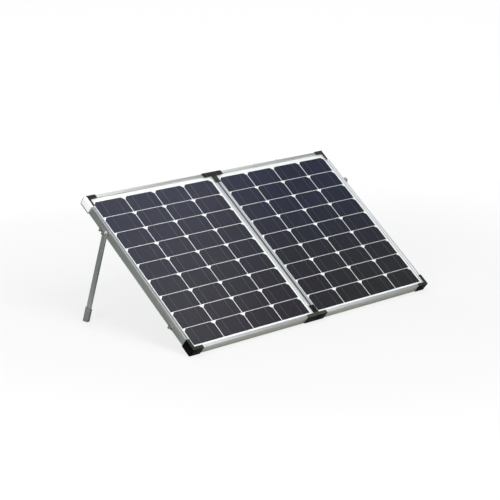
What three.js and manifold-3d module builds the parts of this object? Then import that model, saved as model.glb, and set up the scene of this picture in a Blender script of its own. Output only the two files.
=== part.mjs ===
// Folding solar suitcase kit: two framed 36-cell panels hinged side by side,
// each propped by a swinging leg on its outer rail.
// Millimetres, +Z up, +X right, +Y back. Origin: on the ground, at the middle of
// the kit's footprint (the centre of its bounding box in x and y).
//
// Every part is drawn in the tilted frame of the panels: x right, y up the slope from
// the panels' lower edge, z out of the glass from the front of the frame. The fold line
// is x = 0. Parts of both panels are drawn on the right and mirrored to the left.
import * as THREE from 'three';
import { mergeVertices } from 'three/addons/utils/BufferGeometryUtils.js';
import Module from 'manifold-3d';

const wasm = await Module();
wasm.setup();

// --------------------------------------------------------- shared dimensions
const TILT = THREE.MathUtils.degToRad(37);   // panel slope from horizontal
const PANEL_W = 678;          // one panel, across the slope
const PANEL_H = 780;          // one panel, along the slope
const DEPTH = 35;             // frame depth
const SPLIT = 2;              // half of the gap between the two panels
const OUTER = SPLIT + PANEL_W;
const PANEL_MID_X = SPLIT + PANEL_W / 2;
const WALL = 1.8;             // frame wall
const LIP = 12;               // width of the front lip over the glass
const LIP_T = 1.6;
const FIT = 0.3;              // clearance between neighbouring parts
const PLATE_T = 2;            // steel plates fixed to the rails
const FOLD_Z = -38.5;         // fold axis, behind the frame backs

const PIVOT_Z = -17.5;        // leg pivots
const HOLE_R = 4.3;
const CABLE_HOLE_Y = 556;     // where the jumper cable crosses the fold
const CABLE_HOLE_Z = -20;

const CAP_FACE = 2;           // cap wall over the front and back of the frame
const CAP_LOWER_WALL = 2.4;   // cap wall under the bottom rail

const SIGNS = { left: -1, right: 1 };
const SIDES = Object.keys(SIGNS);

const MATERIALS = {
  frame: { color: 0xc3c7c8, roughness: 0.38, metalness: 0.9 },
  cap: { color: 0x141416, roughness: 0.42 },
  bumper: { color: 0xe9eae8, roughness: 0.4 },
  glass: { color: 0xdfe8ee, roughness: 0.06 },
  cells: { color: 0x23263a, roughness: 0.28, metalness: 0.1 },
  sheet: { color: 0xf0f1f1, roughness: 0.55 },
  steel: { color: 0xb9bcc0, roughness: 0.3, metalness: 1 },
  leg: { color: 0x9aa09c, roughness: 0.42, metalness: 0.9 },
  rubber: { color: 0x1b1c1e, roughness: 0.75 },
  foot: { color: 0x757874, roughness: 0.7 },
  box: { color: 0x18191b, roughness: 0.5 },
  controller: { color: 0x2b2d31, roughness: 0.5 },
  face: { color: 0xd9dcdf, roughness: 0.45 },
  display: { color: 0x5f6f63, roughness: 0.12 },
  button: { color: 0x3c6e9e, roughness: 0.4 },
  cable: { color: 0x121213, roughness: 0.55 },
};

// -------------------------------------------------------------- tilted frame
// The bottom caps' lower back edge is the lowest one; the ground cuts it flat by REST_CUT.
const LOW_Y = -(FIT + CAP_LOWER_WALL);
const LOW_Z = -(DEPTH + FIT + CAP_FACE);
const REST_CUT = 1.5;
const heightOnSlope = (y, z) => y * Math.sin(TILT) + z * Math.cos(TILT);
const LIFT = -heightOnSlope(LOW_Y, LOW_Z) - REST_CUT;

const kit = new THREE.Group();
const slope = new THREE.Group();
slope.rotation.x = TILT;
slope.position.z = LIFT;
kit.add(slope);
slope.updateMatrixWorld(true);

// ------------------------------------------------------------ solids, meshes
function solid(geometry) {
  geometry.deleteAttribute('normal');
  geometry.deleteAttribute('uv');
  const merged = mergeVertices(geometry, 1e-4);
  return new wasm.Manifold(new wasm.Mesh({
    numProp: 3,
    vertProperties: new Float32Array(merged.attributes.position.array),
    triVerts: new Uint32Array(merged.index.array),
  }));
}

function toGeometry(manifold) {
  const mesh = manifold.getMesh();
  const geometry = new THREE.BufferGeometry();
  const positions = new Float32Array(mesh.vertProperties);
  geometry.setAttribute('position', new THREE.BufferAttribute(positions, 3));
  geometry.setIndex(new THREE.BufferAttribute(new Uint32Array(mesh.triVerts), 1));
  geometry.computeVertexNormals();
  return geometry;
}

function put(name, part, look) {
  const material = new THREE.MeshStandardMaterial(MATERIALS[look]);
  const mesh = new THREE.Mesh(toGeometry(part), material);
  mesh.name = name;
  slope.add(mesh);
}

const mirrorX = (part) => part.mirror([1, 0, 0]);

// a part drawn on the right, put on the given side under a name that ends with the side
function putOn(side, name, part, look) {
  put(`${name}_${side}`, SIGNS[side] > 0 ? part : mirrorX(part), look);
}

// ------------------------------------------------------------- basic shapes
function box(x0, x1, y0, y1, z0, z1) {
  const geometry = new THREE.BoxGeometry(x1 - x0, y1 - y0, z1 - z0);
  return solid(geometry.translate((x0 + x1) / 2, (y0 + y1) / 2, (z0 + z1) / 2));
}

// cylinder along an axis; centre holds its other two coordinates, in x, y, z order
function rod(axis, radius, start, end, [first, second], segments) {
  const geometry = new THREE.CylinderGeometry(radius, radius, end - start, segments);
  const middle = (start + end) / 2;
  if (axis === 'x') geometry.rotateZ(-Math.PI / 2).translate(middle, first, second);
  if (axis === 'y') geometry.translate(first, middle, second);
  if (axis === 'z') geometry.rotateX(Math.PI / 2).translate(first, second, middle);
  return solid(geometry);
}

const vectors = (points) => points.map(([x, y]) => new THREE.Vector2(x, y));

function extrude(outline, depth) {
  const shape = new THREE.Shape(vectors(outline));
  return new THREE.ExtrudeGeometry(shape, { depth, bevelEnabled: false });
}

// prism of a [y, z] outline, from x0 to x1
function prismX(outline, x0, x1) {
  const turn = new THREE.Matrix4().set(0, 0, 1, x0, 1, 0, 0, 0, 0, 1, 0, 0, 0, 0, 0, 1);
  return solid(extrude(outline, x1 - x0).applyMatrix4(turn));
}

// prism of an [x, y] outline, from z0 to z1
function prismZ(outline, z0, z1) {
  return solid(extrude(outline, z1 - z0).translate(0, 0, z0));
}

// turned geometry about the y axis; profile: [radius, y]
const lathe = (profile, segments) => new THREE.LatheGeometry(vectors(profile), segments);

function arc([centreX, centreY], radius, start, sweep, steps) {
  const points = [];
  for (let i = 0; i <= steps; i++) {
    const angle = start + sweep * (i / steps);
    points.push([centreX + radius * Math.cos(angle), centreY + radius * Math.sin(angle)]);
  }
  return points;
}

// quarter turn that rounds the low corner [x, y] of an outline
const lowCornerArc = (x, y, radius, steps) =>
  arc([x + radius, y + radius], radius, Math.PI, Math.PI / 2, steps);

function roundedRect(x0, x1, y0, y1, radius) {
  const corners = [
    [x1 - radius, y1 - radius], [x0 + radius, y1 - radius],
    [x0 + radius, y0 + radius], [x1 - radius, y0 + radius],
  ];
  return corners.flatMap((centre, i) => arc(centre, radius, i * Math.PI / 2, Math.PI / 2, 3));
}

// [x0, x1, y0, y1] of a rectangle about its centre
const rectAround = (x, y, width, height) =>
  [x - width / 2, x + width / 2, y - height / 2, y + height / 2];

// round cord through the given [x, y, z] stations
function cord(stations, radius, steps) {
  const points = stations.map((station) => new THREE.Vector3(...station));
  const extrudePath = new THREE.CatmullRomCurve3(points, false, 'centripetal');
  const ring = new THREE.Shape();
  ring.absarc(0, 0, radius, 0, 2 * Math.PI, false);
  const options = { steps, curveSegments: 4, extrudePath, bevelEnabled: false };
  return solid(new THREE.ExtrudeGeometry(ring, options));
}

// everything below the ground, as a block in the tilted frame
const ground = box(-1500, 1500, -1500, 1500, -400, 0)
  .transform(slope.matrixWorld.clone().invert().elements);

// --------------------------------------------------------------- frame rails
const LEG_PIVOT_Y = { left: 606, right: 616 };
const MITRE_GAP = 0.2;
const SHELF = 12;             // width of the shelf behind the laminate
const SHELF_TOP = -7.2;
const SHELF_BACK = -8.8;
const FLANGE = 22;            // width of the back flange
// [distance in from the outer face, z]
const RAIL_SECTION = [
  [0, 0], [0, -DEPTH], [FLANGE, -DEPTH], [FLANGE, -DEPTH + WALL], [WALL, -DEPTH + WALL],
  [WALL, SHELF_BACK], [SHELF, SHELF_BACK], [SHELF, SHELF_TOP], [WALL, SHELF_TOP],
  [WALL, -LIP_T], [LIP, -LIP_T], [LIP, 0],
];

// rail with 45 degree mitres; inward, along: unit vectors across the section and down the rail
function rail(length, inward, along, origin) {
  const geometry = extrude(RAIL_SECTION, 1);
  const position = geometry.attributes.position;
  for (let i = 0; i < position.count; i++) {
    const inset = position.getX(i) + MITRE_GAP;
    position.setZ(i, position.getZ(i) < 0.5 ? inset : length - inset);
  }
  const axes = [inward, [0, 0, 1], along].map((axis) => new THREE.Vector3(...axis));
  const placing = new THREE.Matrix4().makeBasis(...axes).setPosition(...origin);
  return solid(geometry.applyMatrix4(placing));
}

const railBottom = rail(PANEL_W, [0, 1, 0], [1, 0, 0], [SPLIT, 0, 0]);
const railTop = railBottom.mirror([0, 1, 0]).translate([0, PANEL_H, 0]);
const railOuter = rail(PANEL_H, [-1, 0, 0], [0, 1, 0], [OUTER, 0, 0]);
const railInner = mirrorX(railOuter).translate([OUTER + SPLIT, 0, 0]);
const cableHole = rod('x', 4.5, SPLIT - 3, SPLIT + 6, [CABLE_HOLE_Y, CABLE_HOLE_Z], 16);

for (const side of SIDES) {
  const pivotHole = rod('x', HOLE_R, OUTER - 6, OUTER + 4, [LEG_PIVOT_Y[side], PIVOT_Z], 16);
  putOn(side, 'frame_bottom', railBottom, 'frame');
  putOn(side, 'frame_top', railTop, 'frame');
  putOn(side, 'frame_outer', railOuter.subtract(pivotHole), 'frame');
  putOn(side, 'frame_inner', railInner.subtract(cableHole), 'frame');
}

// ------------------------------------------------ laminate and junction box
const LAMINATE_INSET = 2.6;   // laminate edge, in from the frame's outer face
const GLASS_FRONT = -(LIP_T + FIT);
const GLASS_T = 3.2;
const SHEET_FRONT = -6.2;
const SHEET_BACK = -6.9;
const REAR_MOUNT_Z = SHEET_BACK - FIT;   // front of the boxes behind the sheet

const CELL_W = 156;
const CELL_H = 78;
const CELL_GAP = 3;
const COLS = 4;
const ROWS = 9;
const CELL_CUT = 13;          // cut corner of a cell, top corners only
const CELL_FRONT = -5.5;
const CELL_T = 0.3;
const ARRAY_X = PANEL_MID_X - (COLS * CELL_W + (COLS - 1) * CELL_GAP) / 2;
const ARRAY_Y = 23;           // lower edge of the lowest cell row
const RIBBON_W = 1.8;
const RIBBON_PROUD = 0.1;     // ribbons stand proud of both faces of the cells
const BUS_W = 3;
const BUS_PROUD = 0.15;
const BUS_END = 30;           // bus end, in from the side of the array
const BUS_LOW = 7;            // outer edges of the lower and upper bus
const BUS_HIGH = PANEL_H - 6;

const columnX = (column) => ARRAY_X + column * (CELL_W + CELL_GAP);

function cell(column, row) {
  const x0 = columnX(column);
  const x1 = x0 + CELL_W;
  const y0 = ARRAY_Y + row * (CELL_H + CELL_GAP);
  const y1 = y0 + CELL_H;
  return prismZ([
    [x0, y0], [x1, y0], [x1, y1 - CELL_CUT],
    [x1 - CELL_CUT, y1], [x0 + CELL_CUT, y1], [x0, y1 - CELL_CUT],
  ], CELL_FRONT - CELL_T, CELL_FRONT);
}

const conductor = (x0, x1, y0, y1, proud) =>
  box(x0, x1, y0, y1, CELL_FRONT - CELL_T - proud, CELL_FRONT + proud);

// cells with two ribbons down each column and a bus at each end
function cellMatrix() {
  const parts = [];
  for (let column = 0; column < COLS; column++) {
    for (let row = 0; row < ROWS; row++) parts.push(cell(column, row));
    for (const fraction of [0.25, 0.75]) {
      const x = columnX(column) + fraction * CELL_W;
      const [x0, x1] = [x - RIBBON_W / 2, x + RIBBON_W / 2];
      parts.push(conductor(x0, x1, BUS_LOW + 1, BUS_HIGH - 1, RIBBON_PROUD));
    }
  }
  const left = columnX(0) + BUS_END;
  const right = columnX(COLS - 1) + CELL_W - BUS_END;
  for (const y of [BUS_LOW, BUS_HIGH - BUS_W]) {
    parts.push(conductor(left, right, y, y + BUS_W, BUS_PROUD));
  }
  return wasm.Manifold.union(parts);
}

const layer = (back, front) => box(
  SPLIT + LAMINATE_INSET, OUTER - LAMINATE_INSET,
  LAMINATE_INSET, PANEL_H - LAMINATE_INSET, back, front,
);

const JUNCTION = { x: PANEL_MID_X, y: 716, width: 112, height: 58, radius: 5, wall: 3, back: -22 };

// outline of a rear box, and the inside of its walls
const boxOutline = ({ x, y, width, height, radius }) =>
  roundedRect(...rectAround(x, y, width, height), radius);
const boxInside = ({ x, y, width, height, wall }) =>
  rectAround(x, y, width - 2 * wall, height - 2 * wall);

// box open to the back
function junctionBox() {
  return prismZ(boxOutline(JUNCTION), JUNCTION.back, REAR_MOUNT_Z)
    .subtract(box(...boxInside(JUNCTION), -30, -10));
}

// lid with a raised field on its back
function junctionLid() {
  const front = JUNCTION.back - FIT;
  const field = roundedRect(...rectAround(JUNCTION.x, JUNCTION.y, 60, 36), 4);
  return prismZ(boxOutline(JUNCTION), front - 3, front).add(prismZ(field, -26.5, -24));
}

const cells = cellMatrix();
for (const side of SIDES) {
  putOn(side, 'glass', layer(GLASS_FRONT - GLASS_T, GLASS_FRONT), 'glass');
  putOn(side, 'cells', cells, 'cells');
  putOn(side, 'backsheet', layer(SHEET_BACK, SHEET_FRONT), 'sheet');
  putOn(side, 'junction_box', junctionBox(), 'box');
  putOn(side, 'junction_lid', junctionLid(), 'box');
}

// --------------------------------------------------------------- corner caps
const CAP_ARM_X = 52;         // arm lengths along x and y
const CAP_ARM_Y = 50;
const CAP_ARM_W = 20;
const CAP_LIP = LIP + 0.2;    // front plate width over the frame's lip
const FAR = 90;               // cuts run past the arms to here

// prism and block makers in a corner's own x and y, both measured inward from the
// frame's outer faces; inner: at the fold line
function cornerTools(inner, top) {
  const toX = (x) => (inner ? SPLIT + x : OUTER - x);
  const toY = (y) => (top ? PANEL_H - y : y);
  const prism = (outline, z0, z1) => prismZ(outline.map(([x, y]) => [toX(x), toY(y)]), z0, z1);
  const block = (x0, x1, y0, y1, z0, z1) =>
    prism([[x0, y0], [x1, y0], [x1, y1], [x0, y1]], z0, z1);
  const frameRoom = block(-FIT, FAR, -FIT, FAR, -DEPTH - FIT, FIT);
  return { prism, block, frameRoom };
}

// padded: side arm cut away for the corner bumper
function cornerCap(inner, top, padded = false) {
  const { prism, block, frameRoom } = cornerTools(inner, top);
  const x0 = -(FIT + (inner ? 1.4 : 2.5));
  const y0 = -(FIT + (top ? 1.6 : CAP_LOWER_WALL));
  const armY = inner && top ? 55 : CAP_ARM_Y;
  // the upper caps' front plates reach past the frame's lip, over the margin of the sheet
  const plateX = CAP_LIP + (padded ? 4 : 0);
  const reachY = top ? 6.5 : 0;
  const outline = [
    ...lowCornerArc(x0, y0, inner ? 1 : 5, 4), [CAP_ARM_X, y0], [CAP_ARM_X, CAP_ARM_W],
    [CAP_ARM_W, CAP_ARM_W], [CAP_ARM_W, armY], [x0, armY],
  ];
  const cap = prism(outline, -DEPTH - FIT - CAP_FACE, FIT + CAP_FACE)
    .subtract(frameRoom)
    .subtract(block(plateX, FAR, CAP_LIP + reachY, FAR, -2, 9));
  if (!padded) return cap;
  // only a thin inner strip of the side arm is left, in front
  return cap
    .subtract(block(-9, 4.6, -9, FAR, -60, 20))
    .subtract(block(-9, 14, 3, FAR, -60, -0.1))
    .subtract(block(-9, 6.6, 3, FAR, -60, 20))
    .subtract(block(-9, 25, CAP_ARM_Y - 0.1, FAR, -60, 20))
    .subtract(block(plateX, FAR, 8.5 + reachY, FAR, -2, 9));
}

// pale pad wrapped round the outer upper corner
function cornerBumper() {
  const { prism, frameRoom } = cornerTools(false, true);
  const low = -(FIT + 4.6);
  const outline = [
    ...lowCornerArc(low, low, 8.6, 6),
    [4.2, low], [4.2, 3.4], [6.2, 3.4], [6.2, 54], [low, 54],
  ];
  return prism(outline, -DEPTH - FIT - 3, FIT + 1.6).subtract(frameRoom);
}

for (const side of SIDES) {
  putOn(side, 'corner_cap_bottom_outer', cornerCap(false, false).subtract(ground), 'cap');
  putOn(side, 'corner_cap_bottom_inner', cornerCap(true, false).subtract(ground), 'cap');
  putOn(side, 'corner_cap_top_outer', cornerCap(false, true, true), 'cap');
  putOn(side, 'corner_cap_top_inner', cornerCap(true, true), 'cap');
  putOn(side, 'corner_bumper', cornerBumper(), 'bumper');
}

// -------------------------------------------------------------- panel hinges
const HINGE_Y = { lower: 120, upper: 660 };
const HINGE_L = 64;
const KNUCKLES = 5;
const KNUCKLE_R = 3.2;
const PIN_R = 1.5;

// leaf with every other knuckle; parity 0 has the end ones
function hingeLeaf(middleY, parity) {
  const low = middleY - HINGE_L / 2;
  const high = low + HINGE_L;
  const pitch = HINGE_L / KNUCKLES;
  const front = -DEPTH - FIT;
  const back = front - PLATE_T;
  let leaf = box(3.7, 21.5, low, high, back, front);
  for (let k = parity; k < KNUCKLES; k += 2) {
    const y0 = low + k * pitch + (k === 0 ? 0 : FIT);
    const y1 = low + (k + 1) * pitch - (k === KNUCKLES - 1 ? 0 : FIT);
    leaf = leaf
      .add(box(0, 4.5, y0, y1, back, front - 0.01))
      .add(rod('y', KNUCKLE_R, y0, y1, [0, FOLD_Z], 16));
  }
  return leaf.subtract(rod('y', PIN_R + 0.35, low - 5, high + 5, [0, FOLD_Z], 16));
}

// pin with a flat head at each end
function hingePin(middleY) {
  const half = HINGE_L / 2 + 0.4;
  const end = half + 1.2;
  const headR = 2.8;
  const profile = [
    [0, -end], [headR, -end], [headR, -half], [PIN_R, -half],
    [PIN_R, half], [headR, half], [headR, end], [0, end],
  ];
  return solid(lathe(profile, 16).translate(0, middleY, FOLD_Z));
}

for (const [where, y] of Object.entries(HINGE_Y)) {
  putOn('left', `hinge_${where}_leaf`, hingeLeaf(y, 0), 'steel');
  putOn('right', `hinge_${where}_leaf`, hingeLeaf(y, 1), 'steel');
  put(`hinge_${where}_pin`, hingePin(y), 'steel');
}

// ---------------------------------------------------------------------- legs
const LEG_W = 22;
const LEG_HALF = LEG_W / 2;
const LEG_T = 9;
const LEG_WALL = 1.4;
const LEG_STANDOFF = 3;       // outer rail to the left leg
const RIGHT_SPACER = 14.5;    // how much further out the right leg stands
const LEG_SHORT = 10;         // the tube stops this far above the ground, along the leg
const FOOT_L = 62;
const FOOT_WALL = 2;
const BOLT_R = 4;
// openAngle: from the stowed leg, which lies down the rail
const LEGS = {
  left: {
    openAngle: THREE.MathUtils.degToRad(69.4),
    pivotY: LEG_PIVOT_Y.left,
    standoff: LEG_STANDOFF,
  },
  right: {
    openAngle: THREE.MathUtils.degToRad(74.2),
    pivotY: LEG_PIVOT_Y.right,
    standoff: LEG_STANDOFF + RIGHT_SPACER,
  },
};

// [y, z] unit vectors of the open leg: towards the foot, and across towards its lower edge
const legAlong = (angle) => [-Math.cos(angle), -Math.sin(angle)];
const legAcross = (angle) => [-Math.sin(angle), Math.cos(angle)];

// leg frame: x from the outer face inward, y from the pivot to the foot, z across
function legMatrix({ openAngle, pivotY }, outerX) {
  return new THREE.Matrix4().makeBasis(
    new THREE.Vector3(-1, 0, 0),
    new THREE.Vector3(0, ...legAlong(openAngle)),
    new THREE.Vector3(0, ...legAcross(openAngle)),
  ).setPosition(outerX, pivotY, PIVOT_Z);
}

// pivot to ground along the open leg
const legLength = ({ openAngle, pivotY }) =>
  (LIFT + heightOnSlope(pivotY, PIVOT_Z)) / Math.sin(openAngle + TILT);

// tube in the leg frame, round at the pivot end and solid around the pivot
function legTube(length) {
  const end = length - LEG_SHORT;
  const outline = [
    ...arc([0, 0], LEG_HALF, Math.PI / 2, Math.PI, 8), [end, -LEG_HALF], [end, LEG_HALF],
  ];
  const inside = LEG_HALF - LEG_WALL;
  return prismX(outline, 0, LEG_T)
    .subtract(box(LEG_WALL, LEG_T - LEG_WALL, 26, end + 5, -inside, inside))
    .subtract(rod('x', HOLE_R, -5, LEG_T + 5, [0, 0], 16));
}

// sleeve over the leg's end, in the leg frame; it runs past the ground until cut
function legFoot(length) {
  const top = length - FOOT_L;
  const outside = LEG_HALF + FOOT_WALL;
  const inside = LEG_HALF + FIT;
  return box(-FOOT_WALL, LEG_T + FOOT_WALL, top, length + 12, -outside, outside)
    .subtract(box(-FIT, LEG_T + FIT, top - 5, length - LEG_SHORT + FIT, -inside, inside));
}

// nose that the open leg's upper edge bears on; underlap widens it beside the leg's face
function stopNose({ openAngle, pivotY }, x0, x1, underlap = 0) {
  const along = legAlong(openAngle);
  const across = legAcross(openAngle);
  const near = LEG_HALF + 0.4 - underlap;
  const far = LEG_HALF + 6.4;
  const start = underlap ? 0 : 6;
  const end = 12;
  const outline = [[start, near], [end, near], [end, far], [start, far]].map(([down, up]) => [
    pivotY + down * along[0] - up * across[0],
    PIVOT_Z + down * along[1] - up * across[1],
  ]);
  return prismX(outline, x0, x1);
}

// nut inside the rail, shank, washer where there is no spacer, domed head outside the leg
function legBolt(pivotY, seat0, seat1, outerX, hasSpacer) {
  const nutFace = OUTER - WALL - FIT;
  const head = outerX + FIT;
  const washer = [[BOLT_R, seat0], [8, seat0], [8, seat1], [BOLT_R, seat1]];
  const profile = [
    [0, OUTER - 8], [6.6, OUTER - 8], [6.6, nutFace], [BOLT_R, nutFace],
    ...(hasSpacer ? [] : washer),
    [BOLT_R, head], [8.5, head],
    [8.5, outerX + 1.6], [7, outerX + 3.4], [4, outerX + 4.4], [0, outerX + 4.6],
  ];
  return solid(lathe(profile, 20).rotateZ(-Math.PI / 2).translate(0, pivotY, PIVOT_Z));
}

// bush that carries the right leg's stop
function legSpacer(leg, seat0, seat1, outerX) {
  const centre = [leg.pivotY, PIVOT_Z];
  return rod('x', 9, seat0, seat1, centre, 24)
    .add(stopNose(leg, seat1 - 4, seat1 - 0.01, 14))
    .add(stopNose(leg, seat1 - 4, outerX))
    .subtract(rod('x', HOLE_R, seat0 - 5, seat1 + 5, centre, 16));
}

for (const side of SIDES) {
  const leg = LEGS[side];
  const length = legLength(leg);
  const innerX = OUTER + leg.standoff;
  const outerX = innerX + LEG_T;
  const placing = legMatrix(leg, outerX).elements;
  const hasSpacer = leg.standoff > LEG_STANDOFF;
  // the washer or spacer sits between these
  const seat = [OUTER + FIT, innerX - FIT];
  putOn(side, 'leg', legTube(length).transform(placing), 'leg');
  putOn(side, 'foot', legFoot(length).transform(placing).subtract(ground), 'foot');
  putOn(side, 'leg_bolt', legBolt(leg.pivotY, ...seat, outerX, hasSpacer), 'steel');
  if (hasSpacer) putOn(side, 'leg_spacer', legSpacer(leg, ...seat, outerX), 'steel');
}

// ------------------------------------------------------------------- latches
// keeper stud on the left panel, swing hook on the right one
const LATCH_Y = { lower: 137, upper: 633 };
const KEEPER_Z = -29;
const LATCH_Z = -14;
const STUD_R = 3;
const HOOK_REACH = Math.abs(2 * FOLD_Z - KEEPER_Z - LATCH_Z);  // pivot to stud, when folded
const HOOK_HALF = 7;          // half the hook's width
const HOOK_X0 = OUTER + 4.6;
const SLOT_HALF = STUD_R + 0.6;
const SLOT_SWEEP = 0.42;      // radians

const railPlate = (y0, y1, z0, z1) =>
  box(OUTER + FIT, OUTER + FIT + PLATE_T, y0, y1, z0, z1);
// rod standing on the outer rail, placed by its distances out from the rail
const stud = (radius, from, to, y, z) => rod('x', radius, OUTER + from, OUTER + to, [y, z], 16);

function keeper(y) {
  return railPlate(y - 10.5, y + 10.5, -36, -21)
    .add(stud(STUD_R, 1, 11.2, y, KEEPER_Z))
    .add(stud(4.8, 10, 12, y, KEEPER_Z));
}

// strip from the upper keeper to the left leg's stop
function keeperStop(y) {
  return railPlate(LEGS.left.pivotY + 6, y - 5, -35, -28.5)
    .add(stopNose(LEGS.left, OUTER + 0.4, OUTER + LEG_STANDOFF + LEG_T));
}

// plate with the hook's pivot, headed and shouldered
function latchBase(y) {
  return railPlate(y - 6.5, y + 14.5, -30, -5)
    .add(stud(STUD_R, 1, 9.2, y, LATCH_Z))
    .add(stud(5, 8, 10, y, LATCH_Z))
    .add(stud(5, 1, 4.2, y, LATCH_Z));
}

// the hook lies up the rail at rest and turns back by 90 degrees to catch the stud
function latchHook(y) {
  const pivot = [y, LATCH_Z];
  const end = y + HOOK_REACH + 8;
  const low = LATCH_Z - HOOK_HALF;
  const high = LATCH_Z + HOOK_HALF;
  const outline = [...arc(pivot, HOOK_HALF, Math.PI / 2, Math.PI, 6), [end, low], [end, high]];
  // slot: an arc round the pivot, open on the side that leads when closing
  const slot = [
    ...arc(pivot, HOOK_REACH + SLOT_HALF, 0, -SLOT_SWEEP, 8),
    ...arc(pivot, HOOK_REACH - SLOT_HALF, 0, -SLOT_SWEEP, 8).reverse(),
  ];
  const fingerTab = box(
    HOOK_X0, OUTER + 11.5, y + HOOK_REACH + 6, y + HOOK_REACH + 9, low, high,
  );
  return prismX(outline, HOOK_X0, HOOK_X0 + 3)
    .subtract(stud(STUD_R + 0.4, 0, 20, y, LATCH_Z))
    .subtract(prismX(slot, OUTER, OUTER + 20))
    .subtract(stud(SLOT_HALF, 0, 20, y + HOOK_REACH, LATCH_Z))
    .add(fingerTab);
}

for (const [where, y] of Object.entries(LATCH_Y)) {
  const catchPart = where === 'upper' ? keeper(y).add(keeperStop(y)) : keeper(y);
  put(`latch_keeper_${where}`, mirrorX(catchPart), 'steel');
  put(`latch_base_${where}`, latchBase(y), 'steel');
  put(`latch_hook_${where}`, latchHook(y), 'steel');
}

// -------------------------------------------------------------- carry handle
// bail on the right panel's top rail; it lies back at rest
const HANDLE_HALF = 66;       // centre to each bracket
const HANDLE_Y = 788;
const HANDLE_Z = -20;
const BAR_Z = HANDLE_Z - 42;
const WIRE_R = 2.3;
const WIRE_HOLE_R = 2.7;

// ear and foot plate; direction: the way the plate runs from the ear along x
function handleBracket(direction) {
  const x = PANEL_MID_X + direction * HANDLE_HALF;
  const foot = PANEL_H + FIT;
  const [z0, z1] = [HANDLE_Z - 7, HANDLE_Z + 7];
  const x0 = Math.min(x - 1.5, x + direction * 16);
  const x1 = Math.max(x + 1.5, x + direction * 16);
  return prismX(roundedRect(foot, HANDLE_Y + 5, z0, z1, 2), x - 1.5, x + 1.5)
    .add(box(x0, x1, foot, foot + PLATE_T, z0, z1))
    .subtract(rod('x', WIRE_HOLE_R, x - 9, x + 9, [HANDLE_Y, HANDLE_Z], 16));
}

// U-shaped wire: pins through the ears, arms running back, cross bar
function handleBail() {
  const arm = HANDLE_HALF - 6;
  // one half, pin to bar: [distance from the middle, z]
  const half = [
    [HANDLE_HALF + 3.5, HANDLE_Z], [HANDLE_HALF - 2.2, HANDLE_Z],
    [arm + 0.4, HANDLE_Z - 1.4], [arm, HANDLE_Z - 7],
    [arm, BAR_Z + 10], [arm - 2.6, BAR_Z + 2.6], [arm - 9, BAR_Z], [48, BAR_Z], [42, BAR_Z],
  ];
  const stations = [
    ...half.map(([out, z]) => [-out, z]), [0, BAR_Z], ...[...half].reverse(),
  ].map(([x, z]) => [PANEL_MID_X + x, HANDLE_Y, z]);
  return cord(stations, WIRE_R, 72);
}

function handleGrip() {
  const onBar = (radius, half, segments) =>
    rod('x', radius, PANEL_MID_X - half, PANEL_MID_X + half, [HANDLE_Y, BAR_Z], segments);
  return onBar(5.2, 46, 24).subtract(onBar(WIRE_HOLE_R, 60, 16));
}

put('handle_bracket_inner', handleBracket(-1), 'steel');
put('handle_bracket_outer', handleBracket(1), 'steel');
put('handle_bail', handleBail(), 'steel');
put('handle_grip', handleGrip(), 'rubber');

// --------------------------------------------------------- charge controller
// behind the left panel, facing back
const CONTROLLER = { x: -PANEL_MID_X, y: 590, width: 150, height: 84, radius: 6, wall: 3 };
const CONTROLLER_BACK = -27;
const DISPLAY_X = CONTROLLER.x - 16;
const BUTTON_X = CONTROLLER.x + 46;
const CONTROLS_Y = CONTROLLER.y + 13;
const WINDOW_W = 60;
const WINDOW_H = 30;
// [radius, z from the housing's back]
const BUTTON_PROFILE = [
  [0, -3.8], [5.2, -3.8], [6, -2.8], [6, 1.8], [7.6, 1.8], [7.6, 3.2], [0, 3.2],
];

function controllerHousing() {
  return prismZ(boxOutline(CONTROLLER), CONTROLLER_BACK, REAR_MOUNT_Z)
    .subtract(box(...boxInside(CONTROLLER), -60, -10.5));
}

function controllerFaceplate() {
  const window = rectAround(DISPLAY_X, CONTROLS_Y, WINDOW_W, WINDOW_H);
  return prismZ(boxOutline(CONTROLLER), CONTROLLER_BACK - 2.7, CONTROLLER_BACK - FIT)
    .subtract(box(...window, -60, 0))
    .subtract(rod('z', 6.4, -60, 0, [BUTTON_X, CONTROLS_Y], 20));
}

function controllerDisplay() {
  const pane = rectAround(DISPLAY_X, CONTROLS_Y, WINDOW_W - 2 * FIT, WINDOW_H - 2 * FIT);
  return box(...pane, CONTROLLER_BACK - 2, CONTROLLER_BACK - 0.4);
}

function controllerButton() {
  const geometry = lathe(BUTTON_PROFILE, 20).rotateX(Math.PI / 2);
  return solid(geometry.translate(BUTTON_X, CONTROLS_Y, CONTROLLER_BACK));
}

put('controller_housing', controllerHousing(), 'controller');
put('controller_faceplate', controllerFaceplate(), 'face');
put('controller_display', controllerDisplay(), 'display');
put('controller_button', controllerButton(), 'button');

// -------------------------------------------------------------------- cables
const CABLE_R = 3;
const CABLE_GAP = 0.4;        // cable end to box
const JUNCTION_LOW = JUNCTION.y - JUNCTION.height / 2 - CABLE_GAP;
const CONTROLLER_HIGH = CONTROLLER.y + CONTROLLER.height / 2 + CABLE_GAP;
const CONTROLLER_LOW = CONTROLLER.y - CONTROLLER.height / 2 - CABLE_GAP;
const CONTROLLER_RIGHT = CONTROLLER.x + CONTROLLER.width / 2;

// left junction box to controller
put('cable_panel_left', cord([
  [CONTROLLER.x - 25, JUNCTION_LOW, -15], [CONTROLLER.x - 25, JUNCTION_LOW - 14, -15],
  [CONTROLLER.x - 12, (JUNCTION_LOW + CONTROLLER_HIGH) / 2, -16],
  [CONTROLLER.x + 2, CONTROLLER_HIGH + 14, -16], [CONTROLLER.x + 2, CONTROLLER_HIGH, -16],
], CABLE_R, 16), 'cable');

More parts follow.
